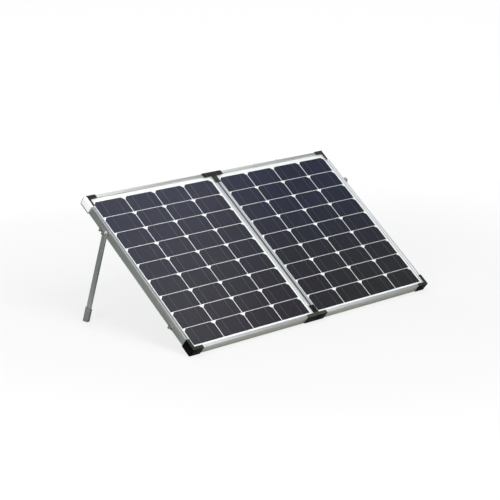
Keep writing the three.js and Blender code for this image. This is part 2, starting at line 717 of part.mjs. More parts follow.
// controller to the fold line
put('cable_jumper_left', cord([
  [CONTROLLER_RIGHT + CABLE_GAP, CABLE_HOLE_Y + 16, -17],
  [CONTROLLER_RIGHT + 26, CABLE_HOLE_Y + 16, -17],
  [-190, CABLE_HOLE_Y + 4, -15], [-110, CABLE_HOLE_Y - 8, -16],
  [-60, CABLE_HOLE_Y - 2, CABLE_HOLE_Z], [-34, CABLE_HOLE_Y, CABLE_HOLE_Z],
  [-0.8, CABLE_HOLE_Y, CABLE_HOLE_Z],
], CABLE_R, 28), 'cable');

// fold line to the right junction box
put('cable_jumper_right', cord([
  [0.8, CABLE_HOLE_Y, CABLE_HOLE_Z], [34, CABLE_HOLE_Y, CABLE_HOLE_Z],
  [64, CABLE_HOLE_Y + 2, CABLE_HOLE_Z], [120, CABLE_HOLE_Y + 26, -15],
  [190, CABLE_HOLE_Y + 58, -14], [262, CABLE_HOLE_Y + 92, -14],
  [318, JUNCTION_LOW - 26, -15], [328, JUNCTION_LOW - 12, -15], [328, JUNCTION_LOW, -15],
], CABLE_R, 36), 'cable');

// output cable, looped below the controller: [x from its middle, drop below it, z]
const OUTPUT_STATIONS = [
  [-30, 0, -16], [-30, 24, -16], [-44, 70, -13], [-18, 124, -13], [24, 110, -13],
  [22, 60, -13], [36, 24, -13], [66, 34, -13], [78, 76, -13.5], [80, 120, -14],
];
put('output_cable', cord(
  OUTPUT_STATIONS.map(([x, drop, z]) => [CONTROLLER.x + x, CONTROLLER_LOW - drop, z]), 3.4, 56,
), 'cable');

// plug with two sockets in its lower end
function outputPlug() {
  const x = CONTROLLER.x + 80;
  const top = CONTROLLER_LOW - 120 - CABLE_GAP;
  const socket = (x0) => box(x0, x0 + 7, top - 50, top - 30, -19, -12);
  return prismZ(roundedRect(x - 13, x + 13, top - 46, top, 4), -23, -8)
    .subtract(socket(x - 8.5))
    .subtract(socket(x + 1.5));
}
put('output_plug', outputPlug(), 'cap');

// ------------------------------------------ origin at the footprint's middle
kit.updateMatrixWorld(true);
const footprint = new THREE.Box3().setFromObject(kit, true);
slope.position.x -= (footprint.min.x + footprint.max.x) / 2;
slope.position.y -= (footprint.min.y + footprint.max.y) / 2;
kit.updateMatrixWorld(true);

export default kit;
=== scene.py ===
"""Looks for a folding solar suitcase kit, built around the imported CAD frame.

Two framed panels lean on legs and meet at a fold line. Junction boxes, a controller
and cables are on their backs; a carry handle is on the right panel's top edge.
Geometry is written in the slope's frame, in millimetres: x to the right (0 at the
fold line), y up the slope (0 at the panels' lower edge), z out of the glass (0 at
the frame's front face). The stage is in world metres, with the viewer towards -Y.
"""

import math
import random

import bmesh
import bpy
from mathutils import Matrix, Vector


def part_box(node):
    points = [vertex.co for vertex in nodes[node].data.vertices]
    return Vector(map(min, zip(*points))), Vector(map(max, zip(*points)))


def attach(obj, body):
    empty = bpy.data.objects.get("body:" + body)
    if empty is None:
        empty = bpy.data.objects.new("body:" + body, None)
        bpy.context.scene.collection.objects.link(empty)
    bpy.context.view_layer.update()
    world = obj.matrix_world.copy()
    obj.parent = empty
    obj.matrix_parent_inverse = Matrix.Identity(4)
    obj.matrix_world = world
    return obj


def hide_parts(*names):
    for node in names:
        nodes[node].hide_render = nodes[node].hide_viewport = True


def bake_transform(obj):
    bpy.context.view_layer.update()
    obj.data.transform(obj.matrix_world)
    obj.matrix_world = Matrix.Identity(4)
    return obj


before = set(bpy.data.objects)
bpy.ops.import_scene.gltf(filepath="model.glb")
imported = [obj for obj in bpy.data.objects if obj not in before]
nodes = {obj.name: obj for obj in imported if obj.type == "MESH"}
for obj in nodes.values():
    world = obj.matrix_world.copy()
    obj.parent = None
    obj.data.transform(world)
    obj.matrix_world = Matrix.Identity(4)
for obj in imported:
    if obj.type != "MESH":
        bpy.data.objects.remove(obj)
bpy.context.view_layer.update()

# ------------------------------------------------------------ driving dimensions
TILT = math.radians(37.0)
SIN, COS = math.sin(TILT), math.cos(TILT)
SPLIT = 2.0  # from the fold line to each inner rail
PANEL_W, PANEL_H, DEPTH = 678.0, 780.0, 35.0
OUTER = SPLIT + PANEL_W
LIP = 12.0  # width of the frame's lip over the glass
GLASS_INSET, GLASS_FRONT, GLASS_BACK = 2.6, -1.9, -5.1
SIDES = ((-1, "left"), (1, "right"))

# junction boxes: distance from the fold line, centre and lower end up the slope
BOX_X, BOX_Y, BOX_H = 341.0, 716.0, 58.0
BOX_LOW = BOX_Y - BOX_H / 2
BOX_EXIT_LEFT, BOX_EXIT_RIGHT, BOX_EXIT_Z = -366, 328, -15

# charge controller on the left panel's back
CONTROL_X, CONTROL_Y, CONTROL_W, CONTROL_H = -341.0, 590.0, 150.0, 84.0
CONTROL_LOW, CONTROL_HIGH = CONTROL_Y - CONTROL_H / 2, CONTROL_Y + CONTROL_H / 2
CONTROL_RIGHT = CONTROL_X + CONTROL_W / 2
CONTROL_TOP_EXIT = CONTROL_X + 2
CONTROL_LOW_EXIT = CONTROL_X - 30

# jumper cable where it crosses the fold, and the output plug
JUMPER_Y, JUMPER_Z, JUMPER_END = 556, -20, 0.8
PLUG_X, PLUG_Y = CONTROL_X + 80, CONTROL_LOW - 120.4

HINGES = (120.0, 660.0)
LATCHES = (137.0, 633.0)
PLATE_FACE = 2.3  # height of the fixing plates' faces above the frame

# carry handle: centre, half span between pivots, reach behind the pivots
HANDLE_X, HANDLE_Y, HANDLE_Z = BOX_X, PANEL_H + 8.0, -20.0
HANDLE_HALF, HANDLE_REACH = 66.0, 42.0

# legs: pivot up the slope, degrees from the slope, gap to the frame's outer side
LEGS = {"left": (606.0, 69.4, 3.0), "right": (616.0, 74.2, 17.5)}
LEG_Z, LEG_HALF_X, LEG_HALF_Z = -17.5, 4.5, 11

# the slope's origin, from the left glass's lowest corner
glass_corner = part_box("glass_left")[0] * 1000
ORIGIN = Vector((
    glass_corner.x + (OUTER - GLASS_INSET),
    glass_corner.y - GLASS_INSET * COS + GLASS_FRONT * SIN,
    glass_corner.z - GLASS_INSET * SIN - GLASS_BACK * COS,
))
SLOPE = (Matrix.Translation(ORIGIN / 1000) @ Matrix.Rotation(TILT, 4, "X")
         @ Matrix.Diagonal((0.001, 0.001, 0.001, 1)))


# ------------------------------------------------------------------ node helpers
class Net:
    """The node tree of a material or world, with short calls to add and join nodes."""

    def __init__(self, owner, output="ShaderNodeOutputMaterial"):
        self.owner = owner
        owner.use_nodes = True
        self.tree = owner.node_tree
        self.tree.nodes.clear()
        self.output = self.add(output)

    def add(self, kind, inputs=None, **props):
        node = self.tree.nodes.new(kind)
        for key, value in props.items():
            setattr(node, key, value)
        for key, value in (inputs or {}).items():
            self.put(node, key, value)
        return node

    def put(self, node, key, value):
        """Links a socket or sets a value; a plain colour is given its alpha."""
        target = node.inputs[key]
        if isinstance(value, bpy.types.NodeSocket):
            self.tree.links.new(value, target)
        elif target.type == "RGBA":
            target.default_value = (*value, 1.0)
        else:
            target.default_value = value

    def calc(self, operation, *values):
        inputs = dict(enumerate(values))
        return self.add("ShaderNodeMath", inputs, operation=operation).outputs[0]

    def place(self, stretch=None, turn=0.0):
        """Position in the slope's frame, in mm; stretch scales it after a turn about x."""
        coords = self.add("ShaderNodeTexCoord").outputs["Object"]
        slope = self.add("ShaderNodeMapping", {
            "Vector": coords,
            "Scale": (1000, 1000, 1000),
            "Rotation": (-TILT, 0, 0),
            "Location": -(Matrix.Rotation(-TILT, 3, "X") @ ORIGIN),
        }).outputs[0]
        if stretch is None:
            return slope
        inputs = {"Vector": slope, "Rotation": (turn, 0, 0)}
        turned = self.add("ShaderNodeMapping", inputs).outputs[0]
        inputs = {0: turned, 1: stretch}
        return self.add("ShaderNodeVectorMath", inputs, operation="MULTIPLY").outputs[0]

    def split(self, vector):
        return self.add("ShaderNodeSeparateXYZ", {0: vector}).outputs

    def noise(self, vector, scale=1.0, detail=3.0, rough=0.55):
        return self.add("ShaderNodeTexNoise", {
            "Vector": vector, "Scale": scale, "Detail": detail, "Roughness": rough,
        }).outputs["Fac"]

    def remap(self, value, to=(0, 1), span=(0.3, 0.7), smooth=False):
        """Maps span onto to; the default span is where most of a noise's values lie."""
        return self.add("ShaderNodeMapRange", {
            "Value": value, "From Min": span[0], "From Max": span[1],
            "To Min": to[0], "To Max": to[1],
        }, interpolation_type="SMOOTHSTEP" if smooth else "LINEAR").outputs["Result"]

    def mix(self, factor, first, second):
        inputs = {0: factor, 6: first, 7: second}
        return self.add("ShaderNodeMix", inputs, data_type="RGBA").outputs[2]

    def bump(self, height, strength, distance):
        inputs = {"Height": height, "Strength": strength, "Distance": distance}
        return self.add("ShaderNodeBump", inputs).outputs[0]

    def finish(self, shader):
        self.put(self.output, "Surface", shader.outputs[0])
        return self.owner

    def surface(self, color, rough, metallic=0.0, normal=None, specular=0.5,
                coat=0.0, coat_rough=0.1):
        self.bsdf = self.add("ShaderNodeBsdfPrincipled", {
            "Base Color": color, "Roughness": rough, "Metallic": metallic,
            "Specular IOR Level": specular, "Coat Weight": coat, "Coat Roughness": coat_rough,
        })
        if normal is not None:
            self.put(self.bsdf, "Normal", normal)
        return self.finish(self.bsdf)

    def glaze(self, rough):
        """Gives the surface the cover glass's reflection."""
        self.put(self.bsdf, "Coat Weight", 1.0)
        self.put(self.bsdf, "Coat IOR", 1.45)
        self.put(self.bsdf, "Coat Roughness", rough)

    def under_glass(self):
        """Glazes the surface, a little uneven with dust."""
        dusty = self.noise(self.place(), scale=0.02, detail=4.0, rough=0.7)
        wavy = self.noise(self.place(), scale=0.05, detail=2.0)
        self.glaze(self.remap(dusty, to=(0.07, 0.12)))
        self.put(self.bsdf, "Coat Normal", self.bump(wavy, strength=0.03, distance=0.0004))
        return self.owner


def new_net(name):
    return Net(bpy.data.materials.new(name))


def scaled(tint, factor, plus=0.0):
    return tuple(min(1.0, channel * factor + plus) for channel in tint)


# --------------------------------------------------------------------- materials
def metal(name, tint, stretch, rough, metallic, turn, line, dust, glazed=False):
    """Extruded or rolled metal: draw lines, a slow change of tone, smudges and dust."""
    net = new_net(name)
    lines = net.noise(net.place(stretch, turn), scale=1.0, detail=5.0, rough=0.65)
    slow = net.noise(net.place(), scale=0.009, detail=2.0)
    smudge = net.noise(net.place(), scale=0.055, detail=4.0, rough=0.7)
    base = net.mix(net.remap(lines), scaled(tint, factor=0.90), scaled(tint, factor=1.06))
    base = net.mix(net.remap(slow, to=(0.0, 0.28)), base, scaled(tint, factor=0.80))
    grime = net.remap(smudge, to=(0.0, dust), span=(0.56, 0.74))
    grime_color, grime_rough = (0.42, 0.41, 0.38), 1.2
    base = net.mix(grime, base, grime_color)
    roughness = net.calc("ADD", net.remap(lines, to=rough, span=(0.25, 0.75)),
                         net.calc("MULTIPLY", grime, grime_rough))
    relief = net.bump(lines, strength=line, distance=0.00012)
    material = net.surface(base, roughness, metallic, relief)
    if glazed:
        net.glaze(rough=0.09)
    return material


def moulded(name, tint, rough, grain, depth, strength, specular, worn, spread):
    """Moulded plastic or rubber: a fine grain, scuffs and a slow change of tone."""
    net = new_net(name)
    place = net.place()
    fine = net.noise(place, scale=grain, detail=2.0, rough=0.6)
    along_slope = net.place(stretch=(1.0, 0.35, 1.0))
    scuff = net.noise(along_slope, scale=0.12, detail=5.0, rough=0.75)
    slow = net.noise(place, scale=0.03, detail=2.0)
    base = net.mix(net.remap(slow), tint, scaled(tint, spread, plus=0.002))
    mark = net.remap(scuff, to=(0.0, worn), span=(0.6, 0.8))
    mark_tone, mark_rough = 0.35, 0.15  # how far a scuff changes tone and roughness
    mark_color = (sum(tint) / 3 * 0.5 + 0.12,) * 3
    base = net.mix(net.calc("MULTIPLY", mark, mark_tone), base, mark_color)
    roughness = net.calc("ADD", net.remap(fine, to=(rough - 0.06, rough + 0.06)),
                         net.calc("MULTIPLY", mark, mark_rough))
    return net.surface(base, roughness, normal=net.bump(fine, strength, depth), specular=specular)


BLACK_PLASTIC = (0.0018, 0.0018, 0.0020)


def cap_material(name, front, bar=None, span=None):
    """Black plastic with a grey painted sheen on its front faces, standing in for reflected light;
    the sheen turns to bar along span in y.
    """
    net = new_net(name)
    place = net.place()
    fine = net.noise(place, scale=1.2, detail=2.0, rough=0.6)
    patchy = net.noise(place, scale=0.09, detail=4.0, rough=0.65)
    facing = net.add("ShaderNodeVectorMath", {
        0: net.add("ShaderNodeTexCoord").outputs["Normal"],
        1: Matrix.Rotation(TILT, 3, "X") @ Vector((0.0, 0.0, 1.0)),
    }, operation="DOT_PRODUCT").outputs["Value"]
    # painted sheen: faces turned to the front are given a grey tone standing in for reflected light,
    # a little patchy
    tint_and_sheen = net.remap(facing, span=(0.6, 0.97), smooth=True)
    tint_and_sheen = net.calc("MULTIPLY", tint_and_sheen, net.remap(patchy, to=(0.82, 1.0), smooth=True))
    tone = front
    if bar:
        tone = net.mix(net.remap(net.split(place)[1], span=span, smooth=True), front, bar)
    base = net.mix(tint_and_sheen, BLACK_PLASTIC, tone)
    sheen_rough = 0.25
    rough = net.calc("ADD", net.remap(fine, to=(0.16, 0.28)),
                     net.calc("MULTIPLY", tint_and_sheen, sheen_rough))
    relief = net.bump(fine, strength=0.30, distance=0.00018)
    return net.surface(base, rough, normal=relief, specular=0.045)


def sheet_material():
    """White backing film seen through the glass."""
    net = new_net("backsheet_film_glazed")
    place = net.place()
    fine = net.noise(place, scale=0.8, detail=2.0)
    slow = net.noise(place, scale=0.012, detail=3.0)
    base = net.mix(net.remap(slow), (0.875, 0.88, 0.87), (0.84, 0.845, 0.84))
    relief = net.bump(fine, strength=0.15, distance=0.0001)
    net.surface(base, net.remap(fine, to=(0.42, 0.55)), normal=relief, specular=0.2)
    return net.under_glass()


# pairs of linear colours for the cells, by place on the slope; the change across the slope is a
# painted reflection of the surroundings in the glass
CELL_LOW_LEFT = ((0.0120, 0.0042, 0.0160), (0.0180, 0.0075, 0.0230))
CELL_LOW_RIGHT = ((0.0075, 0.0060, 0.0078), (0.0125, 0.0105, 0.0125))
CELL_HIGH_LEFT = ((0.0075, 0.0028, 0.0185), (0.0125, 0.0055, 0.0310))
CELL_HIGH_RIGHT = ((0.0030, 0.0042, 0.034), (0.0060, 0.0080, 0.052))


def cell_material():
    """Blue-black silicon with thin printed fingers; each cell's tone is an attribute, and a painted
    reflection grades the colour up and across the slope.
    """
    tone_share, cloud_share = 0.7, 0.4
    finger_shift = 5000.0  # keeps y positive for the repeat
    finger_half_pitch = 0.95
    finger_strength = 0.012
    net = new_net("solar_cell_silicon")
    place = net.place()
    x, y, _ = net.split(place)
    tone = net.add("ShaderNodeAttribute", attribute_name="cell_tone").outputs["Fac"]
    cloud = net.noise(place, scale=0.018, detail=3.0)
    factor = net.calc("ADD", net.calc("MULTIPLY", tone, tone_share),
                      net.calc("MULTIPLY", cloud, cloud_share))
    # painted reflection: the colour is graded up and across the slope for the surroundings mirrored
    # in the glass
    up = net.remap(y, span=(60.0, 700.0), smooth=True)
    right = net.remap(x, span=(-120.0, 260.0), smooth=True)
    high = net.mix(right, net.mix(factor, *CELL_HIGH_LEFT), net.mix(factor, *CELL_HIGH_RIGHT))
    low = net.mix(right, net.mix(factor, *CELL_LOW_LEFT), net.mix(factor, *CELL_LOW_RIGHT))
    base = net.mix(up, low, high)
    wave = net.calc("PINGPONG", net.calc("ADD", y, finger_shift), finger_half_pitch)
    finger = net.remap(wave, to=(1.0, 0.0), span=(0.06, 0.13), smooth=True)
    finger = net.calc("MULTIPLY", finger, finger_strength)
    base = net.mix(finger, base, (0.30, 0.31, 0.34))
    fine = net.noise(place, scale=0.35, detail=2.0)
    net.surface(base, net.remap(fine, to=(0.43, 0.49)), specular=0.30)
    return net.under_glass()


def glass_material():
    """Clear cover with a faint film; the sheet and cells under it carry its reflection."""
    net = new_net("panel_glass_clear")
    tint_and_sheen = net.noise(net.place(), scale=0.012, detail=4.0, rough=0.7)
    color = net.mix(net.remap(tint_and_sheen), (0.980, 0.988, 0.984), (0.955, 0.968, 0.962))
    return net.finish(net.add("ShaderNodeBsdfTransparent", {"Color": color}))


def display_material():
    net = new_net("display_panel")
    fine = net.noise(net.place(), scale=0.5, detail=2.0)
    base = net.mix(net.remap(fine, span=(0.35, 0.65)), (0.22, 0.27, 0.20), (0.26, 0.31, 0.23))
    return net.surface(base, net.remap(fine, to=(0.10, 0.18)), specular=0.6,
                       coat=0.6, coat_rough=0.04)


# stretch of the grain, along a part's length or the same all ways
ALONG_X, ALONG_Y, EVEN = (0.012, 1.6, 1.6), (1.6, 0.012, 1.6), (0.5, 0.5, 0.5)
EXTRUDED = ((0.30, 0.46), 0.95, 0.0, 0.35, 0.10)
LEG_TINT = (0.53, 0.545, 0.53)


def leg_finish(side):
    return (0.34, 0.50), 0.95, -math.radians(LEGS[side][1]), 0.35, 0.10


# key: name, tint, stretch, (roughness range, metallic, turn, line relief, dust)
METALS = {
    # the frame's one aluminium in three tints that stand in for light: the left panel's side rails
    # darker as painted shade, the right panel's side rails lighter as painted light, the top and
    # bottom rails between
    "alu_x": ("frame_aluminium_x", (0.735, 0.745, 0.705), ALONG_X, *EXTRUDED),
    "alu_y_left": ("frame_aluminium_v_left", (0.575, 0.595, 0.575), ALONG_Y, *EXTRUDED),
    "alu_y_right": ("frame_aluminium_v_right", (0.83, 0.85, 0.83), ALONG_Y, *EXTRUDED),
    "leg_left": ("leg_aluminium_left", LEG_TINT, ALONG_Y, *leg_finish("left")),
    "leg_right": ("leg_aluminium_right", LEG_TINT, ALONG_Y, *leg_finish("right")),
    "steel": ("zinc_steel_plate", (0.60, 0.61, 0.63), EVEN, (0.24, 0.40), 0.95, 0.0, 0.15, 0.2),
    # a darker tint of the same steel, for the leg bolts, latch keepers, left latch rivets and leg
    # spacer
    "steel_dark": ("zinc_steel_weathered", (0.30, 0.31, 0.30), EVEN,
                   (0.38, 0.54), 0.9, 0.0, 0.15, 0.2),
    "ribbon": ("tinned_ribbon", (0.125, 0.125, 0.15), ALONG_Y,
               (0.40, 0.55), 0.5, 0.0, 0.1, 0.0, True),
}
# key: name, tint, roughness, grain scale, grain depth (m), relief, specular, wear, tone spread
MOULDED = {
    "cap": ("cap_black_plastic", BLACK_PLASTIC, 0.22, 1.2, 0.00018, 0.30, 0.045, 0.08, 1.5),
    "bumper": ("bumper_pale_plastic", (0.93, 0.935, 0.935),
               0.40, 1.0, 0.0002, 0.25, 0.45, 0.15, 0.96),
    # grey rim of the corner pads: painted shade on their rounded edges
    "bumper_rim": ("bumper_rim_painted_shade", (0.20, 0.205, 0.20),
                   0.5, 1.0, 0.0002, 0.3, 0.35, 0.3, 1.25),
    "rubber": ("rubber_black", (0.008, 0.008, 0.009), 0.75, 0.9, 0.0003, 0.6, 0.12, 0.35, 1.5),
    "foot": ("foot_grey_rubber", (0.155, 0.163, 0.15), 0.62, 0.9, 0.0003, 0.5, 0.35, 0.4, 1.15),
    "box": ("junction_box_plastic", (0.013, 0.013, 0.014),
            0.48, 0.8, 0.0003, 0.45, 0.45, 0.5, 1.5),
    "controller": ("controller_plastic", (0.026, 0.028, 0.033),
                   0.46, 0.9, 0.0003, 0.4, 0.45, 0.4, 1.5),
    "face": ("face_plate_plastic", (0.60, 0.62, 0.64),
             0.38, 1.1, 0.00015, 0.2, 0.45, 0.15, 0.97),
    "button": ("button_blue_plastic", (0.040, 0.150, 0.330),
               0.34, 1.0, 0.0001, 0.2, 0.5, 0.1, 1.2),
    "cable": ("cable_jacket", (0.012, 0.012, 0.012), 0.44, 0.7, 0.0002, 0.3, 0.45, 0.4, 1.5),
    "seal": ("silicone_seal", (0.78, 0.79, 0.80), 0.45, 0.8, 0.0001, 0.2, 0.4, 0.1, 0.95),
    "lcd": ("display_segment", (0.020, 0.026, 0.020), 0.30, 1.0, 0.00005, 0.1, 0.4, 0.0, 1.1),
    "led_g": ("led_green_lens", (0.05, 0.42, 0.08), 0.16, 0.5, 0.00005, 0.1, 0.6, 0.0, 1.1),
    "led_r": ("led_red_lens", (0.45, 0.04, 0.03), 0.16, 0.5, 0.00005, 0.1, 0.6, 0.0, 1.1),
}
# key: name, painted sheen tone on the front, then the sheen's other tone and where it sets in along y
# each cap has its own painted sheen tone, set for how the light falls on it
CAPS = {
    "cap_low": ("cap_plastic_low", (0.029, 0.031, 0.0265)),
    "cap_low_mid": ("cap_plastic_low_mid", (0.0120, 0.0130, 0.0115),
                    (0.050, 0.053, 0.044), (16.0, 12.0)),
    "cap_high_mid": ("cap_plastic_high_mid", (0.045, 0.0455, 0.0425),
                     (0.028, 0.029, 0.025), (755.0, 760.0)),
    "cap_high_left": ("cap_plastic_high_left", (0.026, 0.0265, 0.0245)),
    "cap_high_right": ("cap_plastic_high_right", (0.036, 0.0385, 0.033)),
}
MAT = {key: metal(*row) for key, row in METALS.items()}
MAT.update({key: moulded(*row) for key, row in MOULDED.items()})
MAT.update({key: cap_material(*row) for key, row in CAPS.items()})
MAT["sheet"] = sheet_material()
MAT["cell"] = cell_material()
MAT["glass"] = glass_material()
MAT["display"] = display_material()


# ------------------------------------------------------------- CAD nodes' looks
def angle_shading(degrees):
    """A node group that shades smooth, with edges sharper than the angle kept crisp."""
    group = bpy.data.node_groups.new(f"shade_by_angle_{degrees}", "GeometryNodeTree")
    for way in ("INPUT", "OUTPUT"):
        group.interface.new_socket("Geometry", in_out=way, socket_type="NodeSocketGeometry")
    new, link = group.nodes.new, group.links.new
    start, end = new("NodeGroupInput"), new("NodeGroupOutput")
    angle = new("GeometryNodeInputMeshEdgeAngle")
    sharp = new("FunctionNodeCompare")
    sharp.data_type = "FLOAT"
    sharp.operation = "GREATER_THAN"
    sharp.inputs[1].default_value = math.radians(degrees)
    face = new("GeometryNodeSetShadeSmooth")
    face.domain = "FACE"
    face.inputs["Shade Smooth"].default_value = True
    edge = new("GeometryNodeSetShadeSmooth")
    edge.domain = "EDGE"
    edge.inputs["Shade Smooth"].default_value = False
    link(angle.outputs["Unsigned Angle"], sharp.inputs[0])
    link(start.outputs[0], face.inputs["Geometry"])
    link(face.outputs[0], edge.inputs["Geometry"])
    link(sharp.outputs[0], edge.inputs["Selection"])
    link(edge.outputs[0], end.inputs[0])
    return group


SHADING = {degrees: angle_shading(degrees) for degrees in (32, 50)}


def shade(piece, degrees):
    piece.modifiers.new("shade", "NODES").node_group = SHADING[degrees]


def dress(name, material, bevel=0.0, segments=2):
    """Gives a CAD node its material, rounded edges and shading; its mesh stays as it is."""
    node = nodes[name]
    node.data.materials.clear()
    node.data.materials.append(MAT[material])
    custom_normal = node.data.attributes.get("custom_normal")
    if custom_normal is not None:
        node.data.attributes.remove(custom_normal)
    node.modifiers.new("weld", "WELD").merge_threshold = 1e-6
    if bevel > 0:
        edges = node.modifiers.new("edges", "BEVEL")
        edges.width = bevel / 1000
        edges.segments = segments
        edges.limit_method = "ANGLE"
        edges.angle_limit = math.radians(40)
        edges.use_clamp_overlap = True
        edges.miter_outer = "MITER_ARC"
        node.modifiers.new("weld_edges", "WELD").merge_threshold = 1e-6
    shade(node, 32)


def side_looks(side):
    """Rows of node (without its side), material, bevel width and segments."""
    return (
        ("frame_top", "alu_x", 0.45),
        ("frame_bottom", "alu_x", 0.45),
        ("frame_outer", f"alu_y_{side}", 0.45),
        ("frame_inner", f"alu_y_{side}", 0.45),
        ("corner_cap_top_outer", f"cap_high_{side}", 0.6),
        ("corner_cap_bottom_outer", "cap_low", 0.6),
        ("corner_cap_top_inner", "cap_high_mid", 0.6),
        ("corner_cap_bottom_inner", "cap_low_mid", 0.6),
        ("glass", "glass"),
        ("backsheet", "sheet"),
        ("junction_box", "box", 0.8),
        ("junction_lid", "box", 0.7),
        ("leg", f"leg_{side}", 1.0, 3),
        ("foot", "foot", 1.0, 3),
        ("leg_bolt", "steel_dark", 0.35),
    )


for _, side in SIDES:
    for part, *look in side_looks(side):
        dress(f"{part}_{side}", *look)
for where in ("lower", "upper"):
    for part in ("leaf_left", "leaf_right", "pin"):
        dress(f"hinge_{where}_{part}", "steel", 0.25)
    dress(f"latch_keeper_{where}", "steel_dark", 0.35)
    dress(f"latch_base_{where}", "steel", 0.35)
    dress(f"latch_hook_{where}", "steel", 0.35)
# node, material, bevel width, segments
for look in (
    ("leg_spacer_right", "steel_dark", 0.4),
    ("handle_bracket_inner", "steel", 0.35),
    ("handle_bracket_outer", "steel", 0.35),
    ("handle_grip", "rubber", 0.8, 3),
    ("controller_housing", "controller", 1.0, 3),
    ("controller_faceplate", "face", 0.5),
    ("controller_display", "display", 0.2),
    ("controller_button", "button", 0.5, 3),
    ("output_plug", "cap", 0.8, 3),
):
    dress(*look)


# ------------------------------------------------------------------ mesh helpers
def across(axis):
    """The unit axis and two unit vectors square to it."""
    axis = Vector(axis).normalized()
    side = axis.orthogonal().normalized()
    return axis, side, axis.cross(side)


def round_point(centre, side, other, angle, radius):
    return centre + (side * math.cos(angle) + other * math.sin(angle)) * radius


def hexagon(angle):
    """Radius of a hexagon at an angle, where its corners are at 1."""
    return math.cos(math.pi / 6) / math.cos((angle % (math.pi / 3)) - math.pi / 6)


